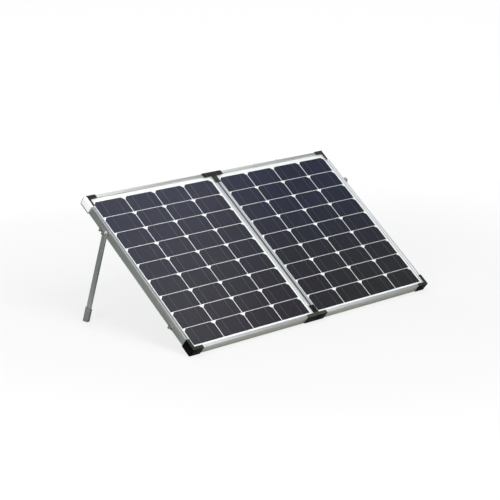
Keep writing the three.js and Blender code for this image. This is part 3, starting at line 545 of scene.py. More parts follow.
class Piece:
    """Collects geometry in the slope's frame, in mm, and makes one object of it."""

    def __init__(self):
        self.verts, self.faces, self.slots = [], [], []
        self.slot = 0  # material slot of the faces added next

    def add(self, verts, faces):
        first = len(self.verts)
        self.verts += [tuple(point) for point in verts]
        self.faces += [tuple(first + i for i in face) for face in faces]
        self.slots += [self.slot] * len(faces)

    def take(self, bm):
        bmesh.ops.recalc_face_normals(bm, faces=bm.faces[:])
        self.add_mesh(bm)

    def add_mesh(self, bm):
        bm.verts.index_update()
        self.add([vert.co[:] for vert in bm.verts],
                 [[vert.index for vert in face.verts] for face in bm.faces])
        bm.free()

    def loft(self, loops, ends=0):
        """Joins loops of equal length. ends: 0 joins the last to the first, 1 or -1
        closes both with a face, the sign giving the first face's winding."""
        size, count = len(loops[0]), len(loops)
        faces = []
        for i in range(count - 1 if ends else count):
            here, there = i * size, (i + 1) % count * size
            for j in range(size):
                k = (j + 1) % size
                faces.append((here + j, here + k, there + k, there + j))
        if ends:
            faces.append(tuple(range(size))[::ends])
            faces.append(tuple(range((count - 1) * size, count * size))[::-ends])
        self.add([point for loop in loops for point in loop], faces)

    def block(self, xs, ys, zs, bevel, segments, matrix=None):
        """A block between pairs of x, y and z, with rounded edges."""
        bm = bmesh.new()
        corners = [bm.verts.new((x, y, z)) for x in xs for y in ys for z in zs]
        for quad in ((0, 1, 3, 2), (4, 6, 7, 5), (0, 4, 5, 1),
                     (2, 3, 7, 6), (0, 2, 6, 4), (1, 5, 7, 3)):
            bm.faces.new([corners[i] for i in quad])
        bmesh.ops.bevel(bm, geom=bm.edges[:], offset=bevel, segments=segments, profile=0.5,
                        affect="EDGES")
        if matrix is not None:
            bm.transform(matrix)
        self.take(bm)

    def plate(self, outline, back, front):
        """An outline in x, y, as a plate from back to front in z."""
        bm = bmesh.new()
        low = [bm.verts.new((x, y, back)) for x, y in outline]
        high = [bm.verts.new((x, y, front)) for x, y in outline]
        bm.faces.new(low[::-1])
        bm.faces.new(high)
        for i in range(len(outline)):
            j = (i + 1) % len(outline)
            bm.faces.new((low[i], low[j], high[j], high[i]))
        self.take(bm)

    def lathe(self, centre, axis, profile, segments=20, ripple=None):
        """Turns (radius, height) pairs round an axis; ripple(ring, angle) scales a radius."""
        axis, side, other = across(axis)
        centre = Vector(centre)
        verts, faces, rings = [], [], []
        for k, (radius, height) in enumerate(profile):
            middle = centre + axis * height
            if radius <= 1e-6:
                rings.append([len(verts)])
                verts.append(middle)
                continue
            rings.append(list(range(len(verts), len(verts) + segments)))
            for i in range(segments):
                angle = 2 * math.pi * i / segments
                reach = radius * (ripple(k, angle) if ripple else 1.0)
                verts.append(round_point(middle, side, other, angle, reach))
        for low, high in zip(rings, rings[1:]):
            for i in range(segments):
                j = (i + 1) % segments
                face = [low[i % len(low)], low[j % len(low)],
                        high[j % len(high)], high[i % len(high)]]
                face = list(dict.fromkeys(face))  # a ring of one point gives a triangle
                if len(face) > 2:
                    faces.append(face)
        if len(rings[0]) > 1:
            faces.append(rings[0][::-1])
        if len(rings[-1]) > 1:
            faces.append(rings[-1])
        self.add(verts, faces)

    def ring(self, centre, axis, profile, segments=24):
        """A closed profile of (radius, height) pairs turned into a ring."""
        axis, side, other = across(axis)
        centre = Vector(centre)
        self.loft([[round_point(centre + axis * height, side, other,
                                2 * math.pi * i / segments, radius)
                    for radius, height in profile] for i in range(segments)])

    def socket_screw(self, centre, axis, radius, height):
        """A button head with a hexagon socket."""
        # shares of the radius and height
        shape = [(1, 0.30), (0.93, 0.62), (0.74, 0.90), (0.56, 1), (0.50, 1),
                 (0.47, 0.35), (0, 0.30)]
        profile = [(radius, -0.4)] + [(radius * out, height * up) for out, up in shape]
        self.lathe(centre, axis, profile, 24,
                   lambda ring, angle: hexagon(angle) if ring in (5, 6) else 1.0)

    def rivet(self, centre, axis, radius, height):
        """A blind rivet: low dome with a small mandrel dimple."""
        # shares of the radius and height
        shape = [(1, 0.22), (0.9, 0.55), (0.66, 0.86), (0.40, 1), (0.33, 1),
                 (0.30, 0.62), (0, 0.6)]
        profile = [(radius, -0.4)] + [(radius * out, height * up) for out, up in shape]
        self.lathe(centre, axis, profile)

    def tube(self, points, radius, segments=16, round_ends=True):
        """A round section swept along a line of points."""
        points = [Vector(point) for point in points]
        last = len(points) - 1
        tangents = [(points[min(i + 1, last)] - points[max(i - 1, 0)]).normalized()
                    for i in range(last + 1)]
        side = tangents[0].orthogonal().normalized()
        end_radius, end_length = radius * 0.86, radius * 0.12
        loops = []
        for i, (point, along) in enumerate(zip(points, tangents)):
            side = (side - along * side.dot(along)).normalized()
            sections = [(point, radius)]
            if round_ends and i == 0:
                sections = [(point, end_radius), (point + along * end_length, radius)]
            elif round_ends and i == last:
                sections = [(point - along * end_length, radius), (point, end_radius)]
            other = along.cross(side)
            for centre, reach in sections:
                loops.append([round_point(centre, side, other, 2 * math.pi * j / segments, reach)
                              for j in range(segments)])
        self.loft(loops, ends=-1)

    def make(self, name, materials, body=None, smooth=32, replaces=()):
        """Makes the object; materials: keys of MAT with spaces between them."""
        mesh = bpy.data.meshes.new(name)
        mesh.from_pydata([SLOPE @ Vector(point) for point in self.verts], [], self.faces)
        for key in materials.split():
            mesh.materials.append(MAT[key])
        mesh.polygons.foreach_set("material_index", self.slots)
        mesh.validate()
        bm = bmesh.new()
        bm.from_mesh(mesh)
        bmesh.ops.recalc_face_normals(bm, faces=bm.faces[:])
        bm.to_mesh(mesh)
        bm.free()
        made = bpy.data.objects.new(name, mesh)
        bpy.context.scene.collection.objects.link(made)
        if smooth:
            shade(made, smooth)
        if body:
            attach(made, body)
        if replaces:
            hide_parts(*replaces)
        return made


def spline(points, most):
    """A centripetal spline through the points, with at most so many steps between two."""
    points = [Vector(point) for point in points]
    points = [points[0] * 2 - points[1]] + points + [points[-1] * 2 - points[-2]]
    line = []
    for before, start, end, after in zip(points, points[1:], points[2:], points[3:]):
        knot0 = max((before - start).length, 1e-4) ** 0.5
        knot1 = max((start - end).length, 1e-4) ** 0.5
        knot2 = max((end - after).length, 1e-4) ** 0.5
        leave = ((start - before) / knot0 - (end - before) / (knot0 + knot1)
                 + (end - start) / knot1) * knot1
        arrive = ((end - start) / knot1 - (after - start) / (knot1 + knot2)
                  + (after - end) / knot2) * knot1
        steps = max(2, min(most, int((end - start).length / 1.2)))
        for k in range(steps):
            t = k / steps
            line.append(start * (2 * t ** 3 - 3 * t ** 2 + 1)
                        + leave * (t ** 3 - 2 * t ** 2 + t)
                        + end * (-2 * t ** 3 + 3 * t ** 2)
                        + arrive * (t ** 3 - t ** 2))
    line.append(points[-2])
    return line


# ------------------------------------------------------- cells, ribbons and seal
CELL_W, CELL_H, CELL_GAP, COLUMNS, ROWS = 156.0, 78.0, 3.0, 4, 9
CELL_Y = 23.0  # lower edge of the lowest row
CELL_X = SPLIT + (PANEL_W - (COLUMNS * CELL_W + (COLUMNS - 1) * CELL_GAP)) / 2
CELL_CUT, CELL_NICK = 13.0, 0.9  # cut corners at the top and bottom of a cell
CELL_TRIM = 0.3  # taken off each end in x, added at each end in y


def cell_plates(sign, side):
    piece = Piece()
    tones = []
    for column in range(COLUMNS):
        for row in range(ROWS):
            left = CELL_X + column * (CELL_W + CELL_GAP)
            low = CELL_Y + row * (CELL_H + CELL_GAP)
            right, high = left + CELL_W - CELL_TRIM, low + CELL_H + CELL_TRIM
            left, low = left + CELL_TRIM, low - CELL_TRIM
            outline = [
                (left + CELL_NICK, low), (right - CELL_NICK, low),
                (right, low + CELL_NICK), (right, high - CELL_CUT),
                (right - CELL_CUT, high), (left + CELL_CUT, high),
                (left, high - CELL_CUT), (left, low + CELL_NICK),
            ]
            if sign < 0:
                outline = [(-x, y) for x, y in outline][::-1]
            piece.plate(outline, back=-5.8, front=-5.5)
            tones += [random.random()] * (2 * len(outline))
    cells = piece.make(f"cell_plates_{side}", "cell", smooth=0)
    cells.data.attributes.new("cell_tone", "FLOAT", "POINT").data.foreach_set("value", tones)
    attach(cells, f"{side}_panel")
    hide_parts(f"cells_{side}")


def busbar_ribbons(sign, side):
    """Two ribbons per column, over each cell and down into the gaps between cells."""
    over, under, half_width = -5.38, -5.78, 0.9
    piece = Piece()
    for column in range(COLUMNS):
        for share in (0.25, 0.75):
            x = sign * (CELL_X + column * (CELL_W + CELL_GAP) + share * CELL_W)
            line = []
            for row in range(ROWS):
                low = CELL_Y + row * (CELL_H + CELL_GAP)
                line += [(low - 1.2, under), (low + 0.6, over),
                         (low + CELL_H - 0.6, over), (low + CELL_H + 1.2, under)]
            section = ((-half_width, -0.10), (0.15 - half_width, 0),
                       (half_width - 0.15, 0), (half_width, -0.10))
            piece.loft([[(x + dx, y, z + dz) for dx, dz in section] for y, z in line], ends=1)
    piece.make(f"busbar_ribbons_{side}", "ribbon", f"{side}_panel",
               replaces=[f"cells_{side}"])


def glass_seal(sign, side):
    """Silicone bead where the glass meets the lip."""
    near, far = SPLIT + LIP - 0.4, OUTER - LIP + 0.4
    low, high = LIP - 0.4, PANEL_H - LIP + 0.4
    # distance in over the glass, z
    profile = [(0.0, -1.85), (1.35, -1.85), (1.15, -1.55), (0.75, -1.25), (0.30, -1.05),
               (0.0, -1.0)]
    piece = Piece()
    piece.loft([[(sign * (near + inset), low + inset, z), (sign * (far - inset), low + inset, z),
                 (sign * (far - inset), high - inset, z), (sign * (near + inset), high - inset, z)]
                for inset, z in profile])
    piece.make(f"glass_seal_{side}", "seal", f"{side}_panel", smooth=50)


random.seed(37)
for sign, side in SIDES:
    cell_plates(sign, side)
    busbar_ribbons(sign, side)
    glass_seal(sign, side)


# ------------------------------------------------------------------- corner pads
def corner_pad(sign, side):
    """The CAD pads with broad rounded edges, their rims painted grey as shade."""
    # painted shade: the pad's rim and a band round its back are painted grey
    shade_band_height = 7.4  # of the grey band, from the pad's back
    bm = bmesh.new()
    bm.from_mesh(nodes[f"corner_bumper_{side}"].data)
    bm.transform(SLOPE.inverted())
    bmesh.ops.remove_doubles(bm, verts=bm.verts[:], dist=0.01)
    bmesh.ops.dissolve_limit(bm, angle_limit=math.radians(1.0), verts=bm.verts[:],
                             edges=bm.edges[:])
    back = min(vert.co.z for vert in bm.verts)
    front = max(vert.co.z for vert in bm.verts)

    def outside(point):
        return abs(point.x) > OUTER + 0.4 or point.y > PANEL_H + 0.4

    def outer_wall(face):
        middle, normal = face.calc_center_median(), face.normal
        beside = abs(middle.x) > OUTER + 3 and normal.x * sign > -0.1
        return abs(normal.z) < 0.3 and (beside or middle.y > PANEL_H + 3)

    def round_rim(level, radius, segments):
        rim = [edge for edge in bm.edges
               if all(abs(vert.co.z - level) < 0.05 and outside(vert.co) for vert in edge.verts)
               and len(edge.link_faces) == 2 and edge.calc_face_angle(0) > 1.0
               and any(outer_wall(face) for face in edge.link_faces)]
        bmesh.ops.bevel(bm, geom=rim, offset=radius, segments=segments, profile=0.5,
                        affect="EDGES")

    round_rim(back, radius=3.9, segments=5)
    round_rim(front, radius=1.3, segments=3)
    band = back + shade_band_height
    bmesh.ops.bisect_plane(bm, geom=bm.verts[:] + bm.edges[:] + bm.faces[:], dist=1e-4,
                           plane_co=(0, 0, band), plane_no=(0, 0, 1))
    bmesh.ops.triangulate(bm, faces=[face for face in bm.faces if len(face.verts) > 4])
    bm.normal_update()

    def painted_shade_face(face):
        """Faces painted grey as shade: the band at the back, and the rounding of the corner itself.
        """
        middle, normal = face.calc_center_median(), face.normal
        if middle.z < band and outside(middle) and abs(normal.z) < 0.95:
            return True
        turned = abs(normal.x) > 0.25 and normal.y > 0.25 and abs(normal.z) < 0.3
        return turned and abs(middle.x) > OUTER - 4 and middle.y > PANEL_H - 4

    # faces painted with shade take the grey rim material
    slots = [int(painted_shade_face(face)) for face in bm.faces]
    piece = Piece()
    piece.add_mesh(bm)
    piece.slots = slots
    piece.make(f"corner_pad_{side}", "bumper bumper_rim", f"{side}_panel",
               smooth=50, replaces=[f"corner_bumper_{side}"])


for sign, side in SIDES:
    corner_pad(sign, side)


# --------------------------------------------------------------- fold strip, a painted shade
def fold_gap_shade_strip():
    """Soft black T-section strip on the left inner rail, filling the gap at the fold line: a dark
    part standing in for the shade in the gap.
    """
    low, length, steps = 51.0, 673.0, 24
    # x, z
    profile = [
        (-1.95, -6.2), (0.6, -6.2), (1.3, -5.6), (1.6, -4.6), (1.7, -3.2),
        (1.7, 0.12), (2.35, 0.16), (2.45, 0.40), (2.2, 0.66), (1.4, 0.82),
        (-1.6, 0.82), (-2.5, 0.66), (-2.85, 0.40), (-2.75, 0.14), (-1.95, 0.10),
    ]
    piece = Piece()
    piece.loft([[(x, low + length * i / steps, z) for x, z in profile]
                for i in range(steps + 1)], ends=1)
    piece.make("fold_gap_shade_strip", "rubber", "left_panel", smooth=50)


fold_gap_shade_strip()


# --------------------------------------------------------------- fixings
def hinge_rivets(sign, side):
    piece = Piece()
    for y in HINGES:
        for shift in (-23, 0, 23):
            piece.rivet((sign * 14.5, y + shift, -DEPTH - PLATE_FACE), (0, 0, -1), 2.6, 0.85)
    piece.make(f"hinge_rivets_{side}", "steel", f"{side}_panel")


def latch_and_handle_rivets():
    radius, height = 1.9, 0.8
    piece = Piece()
    for y in LATCHES:
        for shift in (-7.6, 7.6):
            piece.rivet((-(OUTER + PLATE_FACE), y + shift, -23.8), (-1, 0, 0), radius, height)
    piece.make("latch_rivets_left", "steel_dark", "left_panel")
    piece = Piece()
    for y in LATCHES:
        for shift, z in ((11.2, -8.6), (11.2, -26.2), (-3.2, -26.2)):
            piece.rivet((OUTER + PLATE_FACE, y + shift, z), (1, 0, 0), radius, height)
    for way in (-1, 1):
        x = HANDLE_X + way * (HANDLE_HALF + 9.5)
        for shift in (3.6, -3.6):
            piece.rivet((x, PANEL_H + PLATE_FACE, HANDLE_Z + shift), (0, 1, 0), radius, height)
    piece.make("latch_and_handle_rivets_right", "steel", "right_panel")


def box_screws(sign, side):
    """Lid screws of a junction box, and of the controller on the left."""
    # centre x, y, face z, spacing from the centre in x, y, then the head's radius, height
    lids = [(sign * BOX_X, BOX_Y, -25.3, 49, 22, 2.7, 1.4)]
    if sign < 0:
        lids.append((CONTROL_X, CONTROL_Y, -29.7, 68, 35, 2.5, 1.2))
    piece = Piece()
    for x, y, z, space_x, space_y, radius, height in lids:
        for i in (-1, 1):
            for j in (-1, 1):
                centre = (x + i * space_x, y + j * space_y, z)
                piece.socket_screw(centre, (0, 0, -1), radius, height)
    piece.make(f"box_screws_{side}", "steel", f"{side}_panel")


for sign, side in SIDES:
    hinge_rivets(sign, side)
latch_and_handle_rivets()
for sign, side in SIDES:
    box_screws(sign, side)


# ------------------------------------------------------------ glands and grommets
CABLE_R, OUTPUT_R = 3.0, 3.4


def gland(piece, centre, axis, radius=CABLE_R):
    """A cable gland: hexagon body, ribbed dome nut and a lip round the cable."""
    body = [(6.2, -1.0), (6.2, 1.6), (6.0, 1.9), (5.5, 2.05), (5.2, 2.2), (5.2, 2.6)]
    nut = [(5.0, 2.4), (5.5, 2.7), (5.5, 6.2), (5.2, 7.4), (4.4, 8.6),
           (radius + 0.45, 9.2), (radius + 0.35, 9.6), (radius * 0.9, 9.6)]

    def flats(ring, angle):
        return hexagon(angle) * 1.06 if ring in (0, 1, 2) else 1.0

    def ribs(ring, angle):
        return 1.045 if ring in (1, 2, 3) and math.sin(angle * 12) > 0 else 1.0

    piece.lathe(centre, axis, body, 36, flats)
    piece.lathe(centre, axis, nut, 48, ribs)


def cable_glands():
    piece = Piece()
    gland(piece, (BOX_EXIT_LEFT, BOX_LOW, BOX_EXIT_Z), (0, -1, 0))
    gland(piece, (CONTROL_TOP_EXIT, CONTROL_HIGH, -16), (0, 1, 0))
    gland(piece, (CONTROL_RIGHT, 572, -17), (1, 0, 0))
    gland(piece, (CONTROL_LOW_EXIT, CONTROL_LOW, -16), (0, -1, 0), OUTPUT_R)
    piece.make("cable_glands_left", "cap", "left_panel")
    piece = Piece()
    gland(piece, (BOX_EXIT_RIGHT, BOX_LOW, BOX_EXIT_Z), (0, -1, 0))
    piece.make("cable_gland_right", "cap", "right_panel")


def cable_grommet(sign, side):
    """Rubber grommet where the jumper passes the inner rail."""
    # radius, distance from the rail's face away from the fold
    profile = [
        (3.05, -0.55), (3.3, -0.8), (5.6, -0.8), (6.1, -0.5), (6.1, -0.05), (4.4, -0.05),
        (4.4, 1.85), (6.1, 1.85), (6.1, 2.4), (5.6, 2.9), (3.3, 2.9), (3.05, 2.6),
    ]
    piece = Piece()
    piece.ring((sign * SPLIT, JUMPER_Y, JUMPER_Z), (sign, 0, 0), profile)
    piece.make(f"cable_grommet_{side}", "rubber", f"{side}_panel", smooth=50)


cable_glands()
for sign, side in SIDES:
    cable_grommet(sign, side)

# ------------------------------------------------------------------------ cables
# CAD cable: body, radius, points (x, y, z) along it
CABLES = {
    "cable_panel_left": ("left_panel", CABLE_R, [
        (BOX_EXIT_LEFT, BOX_LOW - 0.4, BOX_EXIT_Z),
        (BOX_EXIT_LEFT, BOX_LOW - 14.4, BOX_EXIT_Z),
        (-353, (BOX_LOW + CONTROL_HIGH) / 2, -16),
        (CONTROL_TOP_EXIT, CONTROL_HIGH + 14.4, -16),
        (CONTROL_TOP_EXIT, CONTROL_HIGH + 0.4, -16),
    ]),
    "cable_jumper_left": ("left_panel", CABLE_R, [
        (CONTROL_RIGHT + 0.4, 572, -17), (CONTROL_RIGHT + 26, 572, -17),
        (-190, 560, -15), (-110, 548, -16), (-60, 554, -20),
        (-34, JUMPER_Y, JUMPER_Z), (-JUMPER_END, JUMPER_Y, JUMPER_Z),
    ]),
    "cable_jumper_right": ("right_panel", CABLE_R, [
        (JUMPER_END, JUMPER_Y, JUMPER_Z), (34, JUMPER_Y, JUMPER_Z),
        (64, 558, -20), (120, 582, -15), (190, 614, -14), (262, 648, -14),
        (318, BOX_LOW - 26.4, -15),
        (BOX_EXIT_RIGHT, BOX_LOW - 12.4, BOX_EXIT_Z),
        (BOX_EXIT_RIGHT, BOX_LOW - 0.4, BOX_EXIT_Z),
    ]),
    "output_cable": ("left_panel", OUTPUT_R, [
        (CONTROL_LOW_EXIT, CONTROL_LOW - 0.4, -16),
        (CONTROL_LOW_EXIT, CONTROL_LOW - 24.4, -16),
        (CONTROL_X - 44, CONTROL_LOW - 70.4, -13),
        (CONTROL_X - 18, CONTROL_LOW - 124.4, -13),
        (CONTROL_X + 24, CONTROL_LOW - 110.4, -13),
        (CONTROL_X + 22, CONTROL_LOW - 60.4, -13),
        (CONTROL_X + 36, CONTROL_LOW - 24.4, -13),
        (CONTROL_X + 66, CONTROL_LOW - 34.4, -13),
        (CONTROL_X + 78, CONTROL_LOW - 76.4, -13.5),
        (PLUG_X, PLUG_Y, -14),
    ]),
}
cable_lines = {}
for name, (body, radius, points) in CABLES.items():
    cable_lines[name] = spline(points, 14)
    piece = Piece()
    piece.tube(cable_lines[name], radius)
    piece.make(name + "_jacket", "cable", body, smooth=50, replaces=[name])


def jumper_bridge():
    """The short length between the two rails, straight across the fold line."""
    steps = 24
    piece = Piece()
    piece.tube([(-JUMPER_END + 2 * JUMPER_END * i / steps, JUMPER_Y, JUMPER_Z)
                for i in range(steps + 1)], CABLE_R + 0.02, round_ends=False)
    bridge = piece.make("cable_jumper_bridge", "cable", smooth=50)
    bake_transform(bridge)


def saddle(piece, point, along):
    """A clip over a cable at a point: an arch with flanges on a flat foot."""
    inner_r, outer_r, half_length = 3.35, 4.5, 4.5
    yaw = (Matrix.Translation((point.x, point.y, 0))
           @ Matrix.Rotation(math.atan2(along.y, along.x), 4, "Z"))

    def arch(radius):
        return [(radius * math.cos(math.pi * k / 8), point.z - radius * math.sin(math.pi * k / 8))
                for k in range(9)]

    # across the cable, z
    flange = [(9.0, -8.3), (9.0, -9.4), (4.9, -9.8), (4.5, -10.6)]
    inner = [(inner_r, -8.3)] + arch(inner_r) + [(-inner_r, -8.3)]
    outer = flange + arch(outer_r) + [(-y, z) for y, z in flange[::-1]]
    outline = outer + inner[::-1]
    bm = bmesh.new()
    start = [bm.verts.new((-half_length, y, z)) for y, z in outline]
    end = [bm.verts.new((half_length, y, z)) for y, z in outline]
    bm.faces.new(start)
    bm.faces.new(end[::-1])
    for i in range(len(outline)):
        j = (i + 1) % len(outline)
        bm.faces.new((start[i], end[i], end[j], start[j]))
    bmesh.ops.triangulate(bm, faces=[face for face in bm.faces if len(face.verts) > 4])
    bm.transform(yaw)
    piece.take(bm)
    piece.block((-7, 7), (-11, 11), (-8.5, -7.0), 0.5, 2, yaw)


def cable_saddles(side, places):
    """Saddles that hold the jumper to the panel's back, at places in x."""
    piece = Piece()
    line = cable_lines[f"cable_jumper_{side}"]
    for x in places:
        i = min(range(1, len(line) - 1), key=lambda k: abs(line[k].x - x))
        saddle(piece, line[i], (line[i + 1] - line[i - 1]).normalized())
    piece.make(f"cable_saddles_{side}", "cap", f"{side}_panel")


def plug_strain_relief():
    """Ribbed, tapering sleeve above the output plug, and ribs on the plug's two sides."""
    profile = [(4.9, -1.2)]
    for i in range(6):
        height, radius = 1.0 + i * 3.0, 5.6 - 0.28 * i
        profile += [(radius - 0.7, height - 0.9), (radius, height - 0.6),
                    (radius, height + 0.6), (radius - 0.7, height + 0.9)]
    profile += [(3.55, 18.6), (3.0, 18.9)]
    piece = Piece()
    piece.lathe((PLUG_X, PLUG_Y, -14.2), (0, 1, 0), profile, 24)
    for i in range(5):
        y = PLUG_Y - i * 4.0
        for way in (-1, 1):
            x = PLUG_X + way * 13.0
            piece.block((x - 0.5, x + 0.5), (y - 12, y - 10), (-21, -10), 0.3, 1)
    piece.make("output_plug_strain_relief", "rubber", "left_panel")


jumper_bridge()
cable_saddles("left", (-190, -110))
cable_saddles("right", (120, 190, 262))
plug_strain_relief()


# -------------------------------------------------------------- controller details
def display_gauge():
    """Six rising level bars with a line above them."""
    zs = (-29.12, -28.95)
    piece = Piece()
    for i in range(6):
        x = CONTROL_X - 40 + i * 8.2
        piece.block((x, x + 6), (CONTROL_Y + 2, CONTROL_Y + 6 + i * 2.6), zs, 0.04, 1)
    piece.block((CONTROL_X - 41, CONTROL_X + 9), (CONTROL_Y + 22.6, CONTROL_Y + 23.4), zs, 0.04, 1)
    piece.make("display_gauge", "lcd", "left_panel")


def indicator_lamps():
    """Two green lamps and a red one."""
    dome = [(2.3, -1.2), (2.3, 0.2), (2.05, 0.75), (1.5, 1.15), (0.8, 1.35), (0, 1.4)]
    piece = Piece()
    for i, slot in enumerate((0, 0, 1)):
        piece.slot = slot
        piece.lathe((CONTROL_X - 38 + i * 14, CONTROL_Y - 18, -29.7), (0, 0, -1), dome)
    piece.make("indicator_lamps", "led_g led_r", "left_panel", smooth=50)


def controller_trim():
    """Ribs on the controller's lower side and a ring on its face."""
    ring = [(7.9, 0.0), (8.2, 0.55), (9.4, 0.75), (10.4, 0.45), (10.6, -0.2), (7.9, -0.2)]
    piece = Piece()
    for i in range(9):
        x = CONTROL_X - 36 + i * 9
        piece.block((x - 1.2, x + 1.2), (CONTROL_LOW - 2.2, CONTROL_LOW + 1.0),
                    (-25.5, -19.5), 0.5, 2)
    piece.ring((CONTROL_X + 46, CONTROL_Y + 13, -29.6), (0, 0, -1), ring, 32)
    piece.make("controller_trim", "controller", "left_panel")


display_gauge()
indicator_lamps()
controller_trim()


# ----------------------------------------------------------------- carry handle
def handle_wire():
    arm = HANDLE_HALF - 6
    reach = HANDLE_REACH
    # distance from the handle's middle in x, z from the pivots
    half = [
        (HANDLE_HALF + 3.5, 0), (HANDLE_HALF - 2.2, 0), (arm + 0.4, -1.4), (arm, -7),
        (arm, 10 - reach), (arm - 2.6, 2.6 - reach), (arm - 9, -reach),
        (48, -reach), (42, -reach),
    ]
    wire = [(-x, z) for x, z in half] + [(0, -reach)] + half[::-1]
    piece = Piece()
    piece.tube(spline([(HANDLE_X + x, HANDLE_Y, HANDLE_Z + z) for x, z in wire], 10), 2.3)
    piece.make("handle_wire", "steel", "handle", smooth=50,
               replaces=["handle_bail"])


def handle_grip_rings():
    profile = [(5.0, -1.5), (5.75, -0.9), (5.95, 0.0), (5.75, 0.9), (5.0, 1.5)]
    piece = Piece()
    for i in range(9):
        centre = (HANDLE_X - 40 + i * 10, HANDLE_Y, HANDLE_Z - HANDLE_REACH)
        piece.ring(centre, (1, 0, 0), profile, 28)
    piece.make("handle_grip_rings", "rubber", "handle", smooth=50)


handle_wire()
handle_grip_rings()


# -------------------------------------------------------------------- foot bands
def foot_bands(sign, side):
    """Raised bands round the rubber foot, which is a sleeve 2 mm thick on the leg."""
    pivot_y, degrees, gap = LEGS[side]
    angle = math.radians(degrees)
    height = ORIGIN.z + pivot_y * SIN + LEG_Z * COS
    length = height / (math.cos(angle) * SIN + math.sin(angle) * COS)
    middle = sign * (OUTER + gap + LEG_HALF_X)
    # leg frame: x across the tube's thickness, y towards the foot, z across its width
    thick = Vector((1, 0, 0))
    along = Vector((0, -math.cos(angle), -math.sin(angle)))
    wide = thick.cross(along)
    leg = Matrix((
        (thick.x, along.x, wide.x, middle),
        (thick.y, along.y, wide.y, pivot_y),
        (thick.z, along.z, wide.z, LEG_Z),
        (0, 0, 0, 1),
    ))
    corner = 1.0
    half_x, half_z = LEG_HALF_X + 2.0 - corner, LEG_HALF_Z + 2.0 - corner
    # corner centre x, z and the angle its rounding starts at
    corners = ((half_x, half_z, 0), (-half_x, half_z, 90),
               (-half_x, -half_z, 180), (half_x, -half_z, 270))
    # height above the sleeve, shift along the leg
    section = ((-0.25, -1.3), (0.45, -0.8), (0.55, 0.0), (0.45, 0.8), (-0.25, 1.3))
    piece = Piece()
    for i in range(4):
        y = length - 52 + i * 7.5
        loops = []
        for rise, shift in section:
            loop = []
            for x, z, start in corners:
                for step in range(4):
                    turn = math.radians(start + 30 * step)
                    loop.append((x + (corner + rise) * math.cos(turn), y + shift,
                                 z + (corner + rise) * math.sin(turn)))
            loops.append(loop)
        # close the band on the inside, just under the sleeve's surface
        first, last = ([(x * 0.93, y, z * 0.96) for x, y, z in loops[end]] for end in (0, -1))
        loops = [first] + loops + [last]
        piece.loft([[leg @ Vector(point) for point in loop] for loop in loops])
    piece.make(f"foot_bands_{side}", "foot", f"{side}_leg", smooth=50)


for sign, side in SIDES:
    foot_bands(sign, side)


# ------------------------------------------------------------------ the stage
def floor_material():
    """Pale floor to the camera; greys to everything that mirrors or scatters off it."""
    bounce, bounce_near, bounce_behind = (0.185, 0.20, 0.178), (0.36, 0.37, 0.345), (0.62, 0.62, 0.61)
    net = new_net("studio_floor")
    place = net.add("ShaderNodeTexCoord").outputs["Object"]
    mottle = net.noise(place, scale=1.4, detail=3.0)
    color = net.mix(mottle, (0.148, 0.148, 0.148), (0.156, 0.156, 0.156))
    diffuse = net.add("ShaderNodeBsdfDiffuse", {"Color": color})
    far = net.add("ShaderNodeVectorMath", {0: place}, operation="LENGTH").outputs["Value"]
    glow = net.add("ShaderNodeEmission", {
        "Color": (1, 1, 1),
        "Strength": net.remap(far, to=(0.74, 0.90), span=(0.9, 3.6), smooth=True)})
    pale = net.add("ShaderNodeAddShader", {0: diffuse.outputs[0], 1: glow.outputs[0]})
    x, y, _ = net.split(place)
    near = net.remap(y, span=(-0.18, -0.30), smooth=True)
    behind = net.calc(
        "MULTIPLY", net.remap(y, span=(0.05, 0.35), smooth=True),
        net.remap(net.calc("ABSOLUTE", x), to=(1.0, 0.0), span=(0.62, 0.95), smooth=True))
    color = net.mix(behind, net.mix(near, bounce, bounce_near), bounce_behind)
    grey = net.add("ShaderNodeBsdfDiffuse", {"Color": color})
    seen = net.add("ShaderNodeLightPath").outputs["Is Camera Ray"]
    return net.finish(net.add("ShaderNodeMixShader",
                              {0: seen, 1: grey.outputs[0], 2: pale.outputs[0]}))


def studio_floor():
    """A flat disc, in metres."""
    radius, sides = 60, 64
    rim = [(radius * math.cos(2 * math.pi * i / sides), radius * math.sin(2 * math.pi * i / sides),
            0.0) for i in range(sides)]
    mesh = bpy.data.meshes.new("floor")
    mesh.from_pydata([(0, 0, 0)] + rim, [],
                     [(0, i + 1, (i + 1) % sides + 1) for i in range(sides)])
    mesh.materials.append(floor_material())
    floor = bpy.data.objects.new("floor", mesh)
    bpy.context.scene.collection.objects.link(floor)


def studio_world():
    """Even white to the camera; to other rays dim, bright overhead, with a cool band."""
    world = bpy.data.worlds.new("studio")
    bpy.context.scene.world = world
    net = Net(world, "ShaderNodeOutputWorld")
    _, y, z = net.split(net.add("ShaderNodeTexCoord").outputs["Generated"])
    overhead = net.remap(z, to=(0.24, 0.97), span=(0.700, 0.748), smooth=True)
    seen = net.add("ShaderNodeLightPath").outputs["Is Camera Ray"]
    seen_strength = 0.96
    strength = net.add("ShaderNodeMix", {0: seen, 2: overhead, 3: seen_strength},
                       data_type="FLOAT").outputs[0]
    cool_start = net.remap(y, span=(-0.12, -0.02), smooth=True)
    cool_end = net.remap(y, to=(1.0, 0.0), span=(0.12, 0.34), smooth=True)
    band = net.calc("MULTIPLY", cool_start, cool_end)
    tint = net.mix(band, (1.0, 0.99, 1.0), (0.92, 0.96, 1.28))
    color = net.mix(seen, tint, (1, 1, 1))
    net.finish(net.add("ShaderNodeBackground", {"Color": color, "Strength": strength}))


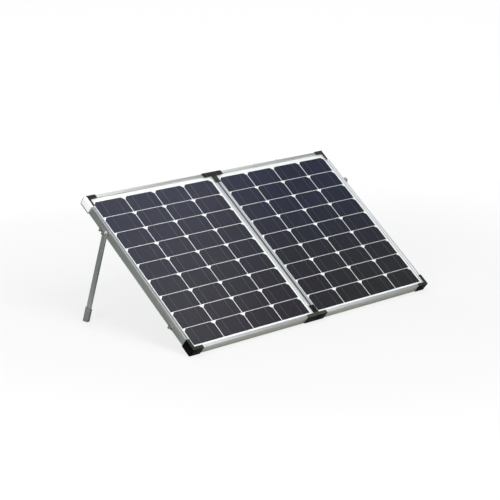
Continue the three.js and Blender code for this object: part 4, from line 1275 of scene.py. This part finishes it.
def area(name, place, towards, size, power, color, receivers):
    light = bpy.data.lights.new(name, "AREA")
    light.shape = "SQUARE"
    light.size = size
    light.energy = power
    light.color = color
    lamp = bpy.data.objects.new(name, light)
    bpy.context.scene.collection.objects.link(lamp)
    lamp.location = place
    lamp.rotation_mode = "QUATERNION"
    lamp.rotation_quaternion = (Vector(towards) - Vector(place)).to_track_quat("-Z", "Y")
    lamp.light_linking.receiver_collection = receivers


def studio_lamps():
    """Three lamps that light everything but the cells and ribbons."""
    unlit = bpy.data.collections.new("kept_from_lamp_glare")
    for _, side in SIDES:
        unlit.objects.link(bpy.data.objects[f"cell_plates_{side}"])
        unlit.objects.link(bpy.data.objects[f"busbar_ribbons_{side}"])
    for member in unlit.collection_objects:
        member.light_linking.link_state = "EXCLUDE"
    # name, place, aim, size (m), power (W), colour
    for row in (
        ("key", (-0.6, -3.6, 4.2), (0, 0, 0.25), 2.6, 210, (1.0, 0.99, 0.97)),
        ("left_fill", (-4.2, -1.2, 1.6), (-0.5, 0, 0.3), 2.0, 110, (1.0, 1.0, 1.0)),
        ("back_fill", (1.2, 4.4, 1.8), (0, 0, 0.25), 2.8, 120, (1.0, 1.0, 1.0)),
    ):
        area(*row, unlit)


def add_camera():
    """Camera placed in the slope's frame: its right, up and back axes and its position."""
    camera_data = bpy.data.cameras.new("camera")
    camera_data.sensor_width = 36.0
    camera_data.lens = 131.318
    camera_data.clip_start = 0.1
    camera_data.clip_end = 300.0
    camera = bpy.data.objects.new("camera", camera_data)
    bpy.context.scene.collection.objects.link(camera)
    tilt = Matrix.Rotation(TILT, 3, "X")
    right = tilt @ Vector((0.7040658724, -0.5525213215, 0.4461069788))
    up = tilt @ Vector((0.1686525296, 0.7403260769, 0.6507485106))
    back = tilt @ Vector((-0.6898170566, -0.3829327475, 0.6144224438))
    place = SLOPE @ Vector((-5140.365, -2433.063, 4495.249))
    rows = [(right[i], up[i], back[i], place[i]) for i in range(3)]
    camera.matrix_world = Matrix((*rows, (0, 0, 0, 1)))
    bpy.context.scene.camera = camera


studio_floor()
studio_world()
studio_lamps()
add_camera()
bpy.context.scene.view_settings.view_transform = "Standard"
bpy.context.scene.view_settings.look = "None"
